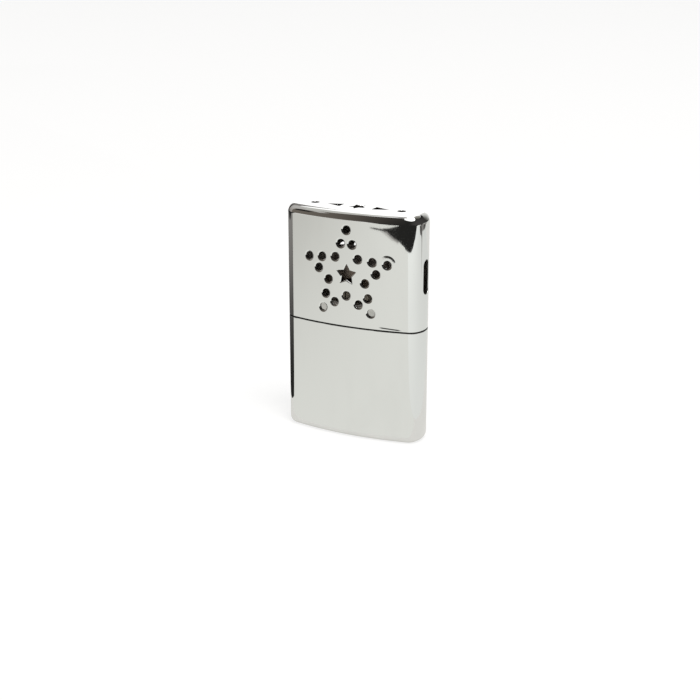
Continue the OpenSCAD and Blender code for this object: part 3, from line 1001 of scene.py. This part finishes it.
class WARMER_OT_collar(bpy.types.Operator):
    """Build the collar that closes the tank and carries the lid"""

    bl_idname = "warmer.collar"
    bl_label = "Collar"

    def execute(self, context):
        case = context.scene.warmer_case
        foot, shoulder = (corner.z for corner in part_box("tank_cap"))
        sheet, edge, bend = case.sheet, case.collar_edge, 0.25 * MM
        wall, foot_wall = sheet + case.lid_fit, sheet + 0.02 * MM
        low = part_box("tank_shell")[1].z - 2 * sheet
        high = low + case.joggle
        piece = swept("collar", CasePlan(case), [
            (wall + edge, shoulder - sheet, 0), (wall + sheet, shoulder - sheet, edge - sheet),
            (wall + sheet, high - sheet / 2, bend), (2 * sheet, low - sheet / 2, bend),
            (2 * sheet, foot, NIP), (foot_wall, foot, NIP), (foot_wall, low, bend),
            (wall, high, bend), (wall, shoulder, edge), (wall + edge, shoulder, 0)], FINE)
        mouth = obround("filler_neck").ring(
            context.scene.warmer_filler.flange_width - 0.05 * MM)
        cutter = new_object("mouth", loft("mouth", [
            np.column_stack([mouth, np.full(len(mouth), shoulder + 2 * way * sheet)])
            for way in (-1, 1)]))
        shape = Shape("Collar mouth", {"Mouth": cutter, "Finish": finish("collar_steel")})
        shape.grow(shape.cut([shape.tool("Mouth")]), piece)
        discard(cutter)
        dress(even_normals(piece), "collar_steel", "tank", "tank_cap")
        return {"FINISHED"}


# ---------------------------------------------------------------- neck and wadding


class WARMER_OT_neck(bpy.types.Operator):
    """Build the filler neck with its bead and flange"""

    bl_idname = "warmer.neck"
    bl_label = "Filler neck"

    def execute(self, context):
        filler = context.scene.warmer_filler
        low, high = (corner.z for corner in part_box("filler_neck"))
        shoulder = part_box("tank_cap")[1].z
        out, bead = filler.flange_width, filler.bead
        bore, deck = out + filler.wall, shoulder + filler.flange_thickness
        curl = (2 * bead - filler.wall) / 2
        piece = swept("neck", obround("filler_neck"), [
            (out, low, NIP), (out, shoulder, NIP / 2), (0, shoulder, NIP),
            (0, deck, 0.2 * MM), (out, deck, 0.45 * MM), (out, high, bead),
            (out + 2 * bead, high, bead), (out + 2 * bead, high - 2 * bead, curl),
            (bore, high - 2 * bead, curl), (bore, low, NIP)], MEDIUM, closed=True)
        dress(piece, "neck_steel", "tank", "filler_neck")
        return {"FINISHED"}


class WARMER_OT_grille(bpy.types.Operator):
    """Build the perforated cup in the neck"""

    bl_idname = "warmer.grille"
    bl_label = "Neck grille"

    def execute(self, context):
        filler = context.scene.warmer_filler
        low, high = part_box("neck_grille")
        sheet, bend = filler.grille_sheet, 0.45 * MM
        piece = swept("grille", obround("neck_grille"), [
            (2 * bend, high.z - sheet, 0), (sheet, high.z - sheet, NIP), (sheet, low.z, NIP),
            (0, low.z, NIP), (0, high.z, bend), (2 * bend, high.z, 0)])
        hole = new_object("grille_punch", punch(
            "grille_punch", circle(filler.grille_hole / 2, 20), NIP, NIP, below=1 * MM))
        hair = 0.001 * MM
        shape = Shape("Perforated cup", {
            "Punch": hole, "Pitch": filler.grille_pitch, "Columns": 13, "Rows": 5,
            "Height": high.z, "Run": straight("neck_grille") / 2,
            "Reach": high.y - filler.grille_hole / 2 - filler.grille_margin + hair,
            "Finish": finish("neck_steel")})
        step, rows, columns = (shape.start[k] for k in ("Pitch", "Rows", "Columns"))
        row = step * math.sin(math.radians(60))
        grid = shape.node("GeometryNodeMeshGrid", None, {
            "Size X": step * (columns - 1), "Size Y": row * (rows - 1),
            "Vertices X": columns, "Vertices Y": rows})["Mesh"]
        spots = shape.node("GeometryNodeMeshToPoints", None, {"Mesh": grid})
        x, y, _ = shape.axes()
        number = y / row
        number = abs(number.maths("ROUND", number))
        odd = number.maths("MODULO", number, 2.0)
        spots = shape.moved(spots, shape.vector(x + odd * step * 0.5, y,
                                                shape.start["Height"]))
        tools = shape.placed(shape.trimmed(spots), shape.tool("Punch"))
        shape.grow(shape.cut([tools]), piece)
        discard(hole)
        dress(even_normals(piece), "neck_steel", "tank", "neck_grille")
        return {"FINISHED"}


def pad(name, plan, node, edge, voxel, dip, tuft, seed):
    """A soft block that fills its node's space, with a surface that dips between tufts."""
    low, high = (corner.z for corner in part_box(node))
    piece = swept(name, plan, [(edge, low, 0), (0, low, edge), (0, high, edge),
                               (edge, high, 0)])
    remesh = piece.modifiers.new("even_faces", "REMESH")
    remesh.mode, remesh.voxel_size = "VOXEL", voxel
    settle(piece)
    shift = Vector((seed, 2.7 * seed, 0))
    vertices = piece.data.vertices
    moves = [v.normal * dip * (0.5 - 0.32 * noise.noise(v.co / tuft + shift)
                               - 0.18 * noise.noise(v.co / (0.3 * tuft) + shift))
             for v in vertices]
    for vertex, move in zip(vertices, moves):
        vertex.co -= move
    shade(piece.data)
    return piece


def lay_fibres(piece, sizes, finish_name, count, seed):
    """Lays loose fibres on a pad, each a thin bowed tube that ends in the pad."""
    area = sum(face.area for face in piece.data.polygons)
    shape = Shape("Loose fibres", {
        "Density": count / area, "Length": sizes.fibre, "Radius": sizes.fibre_radius,
        "Seed": seed, "Finish": finish(finish_name)})
    first_seed, reach = shape.start["Seed"], shape.start["Length"]
    spread = shape.node("GeometryNodeDistributePointsOnFaces", {"distribute_method": "RANDOM"},
                        {"Mesh": shape.start["Geometry"], "Density": shape.start["Density"],
                         "Seed": first_seed})
    root = -0.15 * sizes.fibre
    bow = shape.node("GeometryNodeCurveQuadraticBezier", None, {
        "Resolution": 5, "Start": shape.vector(reach * -0.5, 0.0, root),
        "Middle": shape.vector(reach * 0.1, reach * 0.35, reach * 0.22),
        "End": shape.vector(reach * 0.5, reach * -0.05, root)})
    tube = shape.node("GeometryNodeCurveToMesh", None, {
        "Curve": bow, "Profile Curve": shape.node(
            "GeometryNodeCurvePrimitiveCircle", {"mode": "RADIUS"},
            {"Resolution": 3, "Radius": shape.start["Radius"]})["Curve"]})
    turn, size = (shape.node("FunctionNodeRandomValue", {"data_type": "FLOAT"}, {
        "Min_001": low, "Max_001": high, "Seed": first_seed + k})["Value_001"]
        for k, low, high in ((1, 0.0, 2 * math.pi), (2, 0.4, 1.1)))
    spin = shape.node("FunctionNodeEulerToRotation", None,
                      {"Euler": shape.vector(0.0, 0.0, turn)})
    laid = shape.node("FunctionNodeRotateRotation", {"rotation_space": "LOCAL"},
                      {"Rotation": spread["Rotation"], "Rotate By": spin})
    hairs = shape.placed(spread, tube, Rotation=laid, Scale=size)
    shape.grow(shape.together([shape.start["Geometry"], hairs]), piece)
    shade(piece.data)


class WARMER_OT_felt(bpy.types.Operator):
    """Build the felt wick pad under the grille"""

    bl_idname = "warmer.felt"
    bl_label = "Wick pad"

    def execute(self, context):
        piece = pad("wick", obround("wick_pad", runs=12), "wick_pad", edge=0.5 * MM,
                    voxel=0.3 * MM, dip=0.25 * MM, tuft=1.6 * MM, seed=3)
        lay_fibres(piece, context.scene.warmer_burner, "felt", count=500, seed=11)
        dress(piece, "felt", "tank", "wick_pad")
        return {"FINISHED"}


class WARMER_OT_wadding(bpy.types.Operator):
    """Build the two batts of cotton that hold the fuel"""

    bl_idname = "warmer.wadding"
    bl_label = "Cotton wadding"

    def execute(self, context):
        scene = context.scene
        for seed, node in enumerate(("cotton_lower", "cotton_upper")):
            plan = CasePlan(scene.warmer_case)
            plan.radii = plan.radii - (plan.side_x + plan.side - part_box(node)[1].x)
            piece = pad(node.replace("cotton", "wadding"), plan, node, edge=3 * MM,
                        voxel=0.8 * MM, dip=scene.warmer_filler.puff, tuft=5 * MM, seed=seed)
            lay_fibres(piece, scene.warmer_burner, "cotton", count=900, seed=21 + seed)
            dress(piece, "cotton", "tank", node)
        return {"FINISHED"}


# ---------------------------------------------------------------- burner


def burner_shell(name, node, corners):
    """A ring of the burner's sheet, browned by heat."""
    return swept(name, obround(node), corners, MEDIUM, closed=True)


def dress_burner(piece, node, finish_name="scorched_steel"):
    """Dresses a piece that lifts with the burner."""
    return dress(piece, finish_name, "burner", node)


def cut_row(piece, tool_mesh, count, pitch, height, face_y):
    """Cuts a level row of holes through the front and the back of a ring."""
    tool = new_object("row_punch", tool_mesh)
    shape = Shape("Row of cuts", {
        "Punch": tool, "Count": count, "Pitch": pitch, "Height": height, "Face": face_y,
        "Finish": finish("scorched_steel")})
    step, number = shape.start["Pitch"], shape.start["Count"]
    line = shape.node("GeometryNodeMeshLine", {"mode": "OFFSET"}, {
        "Count": number, "Offset": shape.vector(step, 0.0, 0.0), "Start Location":
        shape.vector(step * (number - 1) * -0.5, shape.start["Face"] * -1,
                     shape.start["Height"])})
    front = shape.placed(line, shape.tool("Punch"), Rotation=Euler((math.pi / 2, 0, 0)))
    shape.grow(shape.cut(shape.both_sides(front)), piece)
    discard(tool)
    return even_normals(piece)


def cut_windows(piece, burner, node):
    """Cuts the air windows through both long sides."""
    outline = box_outline(burner.window_width, burner.window_height, 0.35 * MM)
    room = straight("burner_cover") - burner.window_width
    count = max(1, int((room + burner.window_pitch) / burner.window_pitch))
    low, high = (corner.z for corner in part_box("gauze_frame"))
    return cut_row(piece, punch("window", outline, NIP, NIP), count, burner.window_pitch,
                   (low + high - burner.sheet) / 2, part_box(node)[1].y)


class WARMER_OT_cover(bpy.types.Operator):
    """Build the burner's cover with its turned-in rims and air windows"""

    bl_idname = "warmer.cover"
    bl_label = "Burner cover"

    def execute(self, context):
        burner = context.scene.warmer_burner
        low, high = (corner.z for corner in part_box("burner_cover"))
        sheet = burner.sheet
        top_rim, foot_rim = sheet + burner.rim, burner.skirt_inset - 0.05 * MM
        piece = burner_shell("cover", "burner_cover", [
            (0, low, 0.5 * MM), (0, high, burner.shoulder), (top_rim, high, NIP),
            (top_rim, high - sheet, NIP), (sheet, high - sheet, burner.shoulder - sheet),
            (sheet, low + sheet, NIP), (foot_rim, low + sheet, NIP), (foot_rim, low, NIP)])
        dress_burner(cut_windows(piece, burner, "burner_cover"), "burner_cover")
        return {"FINISHED"}


class WARMER_OT_frame(bpy.types.Operator):
    """Build the burner's skirt with its spring tongues, the spacer and the retaining ring"""

    bl_idname = "warmer.frame"
    bl_label = "Burner frame"

    def execute(self, context):
        burner = context.scene.warmer_burner
        sheet, rim, bend = burner.sheet, burner.rim, 0.35 * MM
        low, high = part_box("burner_frame")
        step = burner.skirt_inset - (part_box("burner_cover")[1].x - high.x)
        piece = burner_shell("skirt", "burner_frame", [
            (step, low.z, NIP), (step, high.z - sheet, NIP), (0, high.z - sheet, NIP),
            (0, high.z, NIP), (step + sheet, high.z, bend), (step + sheet, low.z, NIP)])
        width, drop, past_rim = burner.slit / 2, burner.tongue_height, -1 * MM
        slit = rounded([(-width, past_rim, 0), (width, past_rim, 0),
                        (width, drop, ROUND_END * width), (-width, drop, ROUND_END * width)],
                       closed=True)
        tool = punch("slit", slit, 0.04 * MM, 0.04 * MM, below=3 * MM)
        piece = cut_row(piece, tool, 2, burner.tongue + burner.slit, low.z, high.y - step)
        dress_burner(piece, "burner_frame")

        low, high = (corner.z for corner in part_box("gauze_frame"))
        piece = burner_shell("spacer", "gauze_frame", [
            (0, low, NIP), (0, high, bend), (rim, high, NIP), (rim, high - sheet, NIP),
            (sheet, high - sheet, NIP), (sheet, low, NIP)])
        dress_burner(cut_windows(piece, burner, "gauze_frame"), "gauze_frame")

        low, high = (corner.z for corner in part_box("gauze_retainer"))
        piece = burner_shell("retainer", "gauze_retainer", [
            (0, low, NIP), (0, high, NIP), (rim, high, NIP), (rim, low, NIP)])
        dress_burner(piece, "gauze_retainer")
        return {"FINISHED"}


def weave(piece, burner, node):
    """Weaves a gauze of waved wires, trimmed to the node's plan."""
    low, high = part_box(node)
    pitch, wire = burner.mesh_pitch, burner.wire
    fine = 4                                    # points along a wire for each pitch
    shape = Shape("Woven gauze", {
        "Pitch": pitch, "Wire radius": wire, "Run": straight(node) / 2,
        "Reach": high.y - 2 * wire, "Height": (low.z + high.z) / 2, "Sides": 6,
        "Finish": finish("gauze_wire")})
    step, radius = shape.start["Pitch"], shape.start["Wire radius"]
    across = int((high.x - low.x) / pitch / 2)
    along = int((high.y - low.y) / pitch / 2)
    wires = []
    for axis, way, half in (("X", 1, (across, along)), ("Y", -1, (along, across))):
        grid = shape.node("GeometryNodeMeshGrid", None, {
            "Size X": step * 2 * half[0], "Size Y": step * 2 * half[1],
            "Vertices X": 2 * half[0] * fine + 1, "Vertices Y": 2 * half[1] + 1})["Mesh"]
        lines = shape.dropped(grid, True, "FACE", "ONLY_FACE")
        ends = shape.node("GeometryNodeInputMeshEdgeVertices")
        _, start_y, _ = shape.parts(ends["Position 1"])
        _, end_y, _ = shape.parts(ends["Position 2"])
        lines = shape.dropped(lines, abs(start_y - end_y) > wire, "EDGE", "EDGE_FACE")
        x, y, _ = shape.axes()
        phase = (x / step + y / step) * math.pi
        wave = phase.maths("COSINE", phase) * radius * way + shape.start["Height"]
        lines = shape.moved(lines, shape.vector(*((x, y) if axis == "X" else (y, x)), wave))
        wires.append(shape.node("GeometryNodeMeshToCurve", None,
                                {"Mesh": shape.trimmed(lines)}))
    ring = shape.node("GeometryNodeCurvePrimitiveCircle", {"mode": "RADIUS"}, {
        "Resolution": shape.start["Sides"], "Radius": radius})["Curve"]
    shape.grow(shape.node("GeometryNodeCurveToMesh", None, {
        "Curve": shape.together(wires), "Profile Curve": ring, "Fill Caps": True}), piece)
    shade(piece.data)


class WARMER_OT_gauzes(bpy.types.Operator):
    """Weave the wire gauzes under and over the catalyst"""

    bl_idname = "warmer.gauzes"
    bl_label = "Gauzes"

    def execute(self, context):
        for node in ("lower_gauze", "upper_gauze"):
            name = "woven_" + node.split("_")[0]
            piece = new_object(name, bpy.data.meshes.new(name))
            weave(piece, context.scene.warmer_burner, node)
            dress_burner(piece, node, "gauze_wire")
        return {"FINISHED"}


class WARMER_OT_catalyst(bpy.types.Operator):
    """Build the glass fibre mat that carries the catalyst"""

    bl_idname = "warmer.catalyst"
    bl_label = "Catalyst mat"

    def execute(self, context):
        piece = pad("mat", obround("catalyst_mat", runs=12), "catalyst_mat", edge=0.8 * MM,
                    voxel=0.32 * MM, dip=0.45 * MM, tuft=2 * MM, seed=7)
        lay_fibres(piece, context.scene.warmer_burner, "glass_fibre", count=1500, seed=31)
        dress_burner(piece, "catalyst_mat", "glass_fibre")
        return {"FINISHED"}


# ---------------------------------------------------------------- what the chrome mirrors

# The polished case mirrors a room: a pale table with a dark far edge, dark walls up to a
# pale ceiling, and a bright door on the right. Sizes in this section are in millimetres.
WALL = 1500                     # distance of the walls
HORIZON = -3.7                  # angle of the walls' foot, behind the table's far edge
EYE = 96                        # height from which the angles of the curtains are seen
NIGHT, DUSK, BROWN = (0.018, 0.018, 0.017), (0.055, 0.052, 0.05), (0.16, 0.14, 0.12)
DIM, GREY, SHADE = (0.09, 0.085, 0.08), (0.24, 0.23, 0.22), (0.36, 0.34, 0.32)
PALE, SOFT = (0.5, 0.49, 0.47), (0.56, 0.56, 0.53)


def skyline(heads, foot=HORIZON):
    """Columns of a curtain that all start at foot; heads are (turn, head)."""
    return [(turn, foot, head) for turn, head in heads]


# Distance, columns (turn to the right of the front, foot and head, in degrees), and the
# first and last colour along an axis, which is X if it isn't given
CURTAINS = {
    "room_front": (WALL, skyline([
        (-64, 42), (-58, 50), (-50, 62), (-40, 69), (-32, 73.5), (-23, 69), (-14, 63),
        (-9, 56), (-4, 49), (6, 44)]), BROWN, NIGHT),
    "room_right": (WALL, skyline([
        (6, 44), (25, 42), (45, 44), (60, 46), (75, 53), (90, 61), (100, 68), (112, 70),
        (125, 62), (135, 50), (150, 42), (165, 40), (178, 39)]), NIGHT, DUSK),
    "room_beam": (WALL - 40, [
        (112, 56, 71), (122, 46, 73), (135, 42, 75), (150, 42.5, 75), (165, 41, 64),
        (178, 40, 52)], (0.42, 0.41, 0.38), (0.1, 0.1, 0.08)),
    "room_door": (WALL - 40, [
        (146, 8, 24), (152, 4, 28), (160, 1, 31), (170, -1, 33), (182, -1, 33),
        (192, -1, 30)], (0.8, 0.8, 0.78), (0.08, 0.08, 0.07)),
    "ceiling_line": (WALL - 40, [
        (-100, 75.5, 79.5), (-80, 75, 79.5), (-60, 74.5, 79), (-45, 74, 78),
        (-30, 73.5, 77)], GREY, PALE),
    "room_left_low": (WALL, skyline([
        (-136, 10), (-118, 10), (-100, 10), (-82, 10), (-64, 10)]), SHADE, DUSK, "Y"),
    "room_left": (WALL, skyline([(-104, 50), (-84, 50), (-64, 50)], 10), SHADE, PALE, "Z"),
    "room_corner": (WALL, skyline([(-136, 50), (-120, 50), (-104, 50)], 10),
                    DUSK, GREY, "Z"),
    "ceiling_left": (WALL - 10, [
        (-100, 50, 76), (-82, 50, 75.5), (-64, 42, 75), (-56, 52, 74.5), (-50, 62, 74)],
        SOFT, SOFT),
    "stand": (WALL - 100, [(-62, 29, 35), (-57, 24, 36), (-50, 25, 31)], NIGHT, NIGHT),
    "shade": (WALL - 50, [(-66, 38, 46), (-57, 39, 46), (-48, 34, 42)], PALE, PALE),
}
# Height over the floor, corners (x, y), and colours as above
FLAGS = {
    "table_edge": (0.6, [
        (-106, -399), (-62, -400.5), (-39, -401), (-16, -386), (4, -375), (19, -362),
        (29, -354), (80, -341), (130, -330), (221, -294), (312, -240), (352, -202),
        (398, -158), (425, -130), (460, -110), (800, -80), (850, 500), (1600, 900),
        (1600, -1600), (-420, -1600), (-300, -1000), (-110, -620), (-110, -470),
        (-93, -430), (-65, -424), (-34, -422), (0, -425), (0, -423), (-10, -420),
        (-34, -412), (-63, -406), (-90, -404)], NIGHT, NIGHT),
    "table_worn": (0.55, [
        (-56, -401), (-39, -401), (-16, -386), (4, -375), (0, -373), (-18, -382),
        (-38, -395)], GREY, GREY),
    "table_pale": (0.52, [
        (-66, -400), (-39, -401), (-16, -386), (4, -375), (2, -370), (-20, -377),
        (-44, -391)], SOFT, SOFT),
    "dark_left": (0.4, [
        (-60, -22), (-112, -52), (-450, -252), (-450, 470), (-150, 330), (-60, 60)],
        GREY, NIGHT),
    "foot_left": (0.5, [(-440, -246), (-1600, -1300), (-1600, 1200), (-440, 470)],
                  NIGHT, NIGHT),
    "line_right": (0.5, [(258, 124), (425, 182), (392, 212)], PALE, GREY),
    "foot_right": (0.6, [
        (404, 96), (378, 196), (334, 265), (280, 330), (500, 900), (900, 300)],
        GREY, DUSK),
    "foot_dark": (0.7, [
        (418, 84), (400, 122), (384, 150), (370, 160), (374, 176), (396, 180), (424, 150),
        (445, 110), (446, 76)], DIM, DIM),
    "foot_far": (0.7, [
        (350, 240), (330, 268), (312, 292), (300, 312), (330, 318), (352, 286),
        (368, 256)], DIM, DIM),
    "bright_right": (0.3, [(60, -500), (600, -500), (600, 330), (60, 330)],
                     (0.93, 0.95, 0.92), (0.72, 0.735, 0.71), "Y"),
    "table_top": (0.2, [
        (-450, -252), (-110, -40), (-60, -14), (60, -14), (60, -460), (-130, -460),
        (-450, -900)], (0.59, 0.59, 0.555), (0.79, 0.8, 0.76)),
}


def card(name, points, faces, first, last, axis="X"):
    """A card that only polished metal sees. Its colour runs from first to last along an
    axis; points are in millimetres."""
    mesh = bpy.data.meshes.new(name)
    mesh.from_pydata([[c * MM for c in point] for point in points], [], faces)
    sheet = new_object(name, mesh)
    number = "XYZ".index(axis)
    reach = [point[number] * MM for point in points]
    paper = bpy.data.materials.new(name)
    paper.use_nodes = True
    graph = Graph(paper.node_tree)
    place = graph.parts(graph.place())[number]
    light = graph.node("ShaderNodeEmission", None, {
        "Color": graph.blend(place.fade(min(reach), max(reach)), first, last)})
    graph.node("ShaderNodeOutputMaterial", None, {"Surface": light})
    mesh.materials.append(paper)
    for kind in ("camera", "diffuse", "transmission", "shadow", "volume_scatter"):
        setattr(sheet, "visible_" + kind, False)


def hang_curtain(name, reach, columns, *colours):
    """Bends a card round the object."""
    rows = 9
    points = []
    for turn, foot, head in columns:
        for rise in np.radians(np.linspace(foot, head, rows)):
            points.append((reach * math.sin(math.radians(turn)) * math.cos(rise),
                           -reach * math.cos(math.radians(turn)) * math.cos(rise),
                           max(reach * math.sin(rise) + EYE, 0.5)))
    faces = [(k, k + rows, k + rows + 1, k + 1) for i in range(len(columns) - 1)
             for k in range(i * rows, i * rows + rows - 1)]
    card(name, points, faces, *colours)


def hang_room():
    """Hangs the walls and lays the flat cards just above the floor."""
    for name, (reach, columns, *colours) in CURTAINS.items():
        hang_curtain(name, reach, columns, *colours)
    for name, (height, corners, *colours) in FLAGS.items():
        card(name, [(x, y, height) for x, y in corners], [tuple(range(len(corners)))],
             *colours)


# ---------------------------------------------------------------- studio


def seen(graph):
    """1 on rays from the camera, from gloss and through glass, and the same for gloss."""
    path = graph.node("ShaderNodeLightPath")
    gloss = path["Is Glossy Ray"]
    return path["Is Camera Ray"] + gloss + path["Is Transmission Ray"], gloss


def paint_floor(graph, colour_rgb):
    """Pale floor: lit like any other for the object, near white to the eye, with shadows."""
    shown, gloss = seen(graph)
    lit = graph.node("ShaderNodeBsdfPrincipled", None, {
        "Base Color": opaque(colour_rgb), "Roughness": 0.9, "Specular IOR Level": 0.1})
    glow = graph.node("ShaderNodeEmission", None, {
        "Color": graph.blend(gloss, (1, 1, 1), (1, 0.997, 0.95)),
        "Strength": 1.2 - gloss * 0.42})
    both = graph.node("ShaderNodeMixShader", None, {0: shown * 0.62, 1: lit, 2: glow})
    graph.node("ShaderNodeOutputMaterial", None, {"Surface": both})


def lay_floor(studio):
    """Lays the floor under the object."""
    half = 3000 * MM
    mesh = bpy.data.meshes.new("floor")
    mesh.from_pydata([(-half, -half, 0), (half, -half, 0), (half, half, 0),
                      (-half, half, 0)], [], [(0, 1, 2, 3)])
    mesh.materials.append(material("pale_floor", paint_floor, studio.floor))
    new_object("floor", mesh)


def set_lights(scene, studio):
    """Sets the soft lamp, above and in front on the right, and the light all round."""
    lamp = bpy.data.lights.new("soft_lamp", "AREA")
    lamp.shape, lamp.size, lamp.energy = "DISK", studio.lamp_size, studio.lamp
    lamp_object = new_object("soft_lamp", lamp)
    aim = Vector((0.29, -0.23, 0.95)).normalized()
    lamp_object.location = aim * studio.lamp_distance
    lamp_object.rotation_euler = aim.to_track_quat("Z", "Y").to_euler()

    world = bpy.data.worlds.new("studio_light")
    world.use_nodes = True
    scene.world = world
    graph = Graph(world.node_tree)
    shown, gloss = seen(graph)
    sky = graph.node("ShaderNodeBackground", None, {
        "Color": (1, 1, 1, 1),
        "Strength": shown * (1 - studio.fill) + gloss * 0.3 + studio.fill})
    graph.node("ShaderNodeOutputWorld", None, {"Surface": sky})


def set_camera(scene, studio):
    """Sets the camera and how its picture is shown."""
    lens = bpy.data.cameras.new("camera")
    lens.lens, lens.sensor_width = studio.lens, 36
    eye = new_object("camera", lens)
    turn, rise = studio.azimuth, studio.elevation
    away = Vector((math.sin(turn) * math.cos(rise), -math.cos(turn) * math.cos(rise),
                   math.sin(rise)))
    eye.location = Vector(studio.target) + away * studio.distance
    eye.rotation_euler = away.to_track_quat("Z", "Y").to_euler()
    scene.camera = eye
    scene.view_settings.view_transform = "Standard"


class WARMER_OT_stage(bpy.types.Operator):
    """Set the floor, the soft lights, the cards and the camera"""

    bl_idname = "warmer.stage"
    bl_label = "Studio"

    def execute(self, context):
        scene = context.scene
        lay_floor(scene.warmer_studio)
        hang_room()
        set_lights(scene, scene.warmer_studio)
        set_camera(scene, scene.warmer_studio)
        return {"FINISHED"}


# ---------------------------------------------------------------- add-on


class WARMER_PT_panel(bpy.types.Panel):
    """Buttons that build the hand warmer piece by piece"""

    bl_idname = "WARMER_PT_panel"
    bl_label = "Hand warmer"
    bl_space_type = "VIEW_3D"
    bl_region_type = "UI"
    bl_category = "Hand Warmer"

    def draw(self, context):
        for operator in OPERATORS:
            self.layout.operator(operator.bl_idname)


GROUPS = {
    "warmer_case": CaseSizes, "warmer_holes": HoleSizes, "warmer_filler": FillerSizes,
    "warmer_burner": BurnerSizes, "warmer_colours": FinishColours,
    "warmer_studio": StudioSettings,
}
OPERATORS = (
    WARMER_OT_lid, WARMER_OT_tank, WARMER_OT_collar, WARMER_OT_neck, WARMER_OT_grille,
    WARMER_OT_felt, WARMER_OT_wadding, WARMER_OT_cover, WARMER_OT_frame, WARMER_OT_gauzes,
    WARMER_OT_catalyst, WARMER_OT_stage,
)
CLASSES = (*GROUPS.values(), *OPERATORS, WARMER_PT_panel)


def register():
    """Adds the classes, and each group of sizes and colours to the scene."""
    for kind in CLASSES:
        bpy.utils.register_class(kind)
    for name, group in GROUPS.items():
        setattr(bpy.types.Scene, name, PointerProperty(type=group))


def unregister():
    """Takes them away again."""
    for name in GROUPS:
        delattr(bpy.types.Scene, name)
    for kind in CLASSES[::-1]:
        bpy.utils.unregister_class(kind)


def main():
    """Builds every piece and the studio."""
    for name in ("Cube", "Light", "Camera"):
        if name in bpy.data.objects:
            discard(bpy.data.objects[name])
    register()
    for operator in OPERATORS:
        getattr(bpy.ops.warmer, operator.bl_idname.split(".")[1])()


if __name__ == "__main__":
    main()
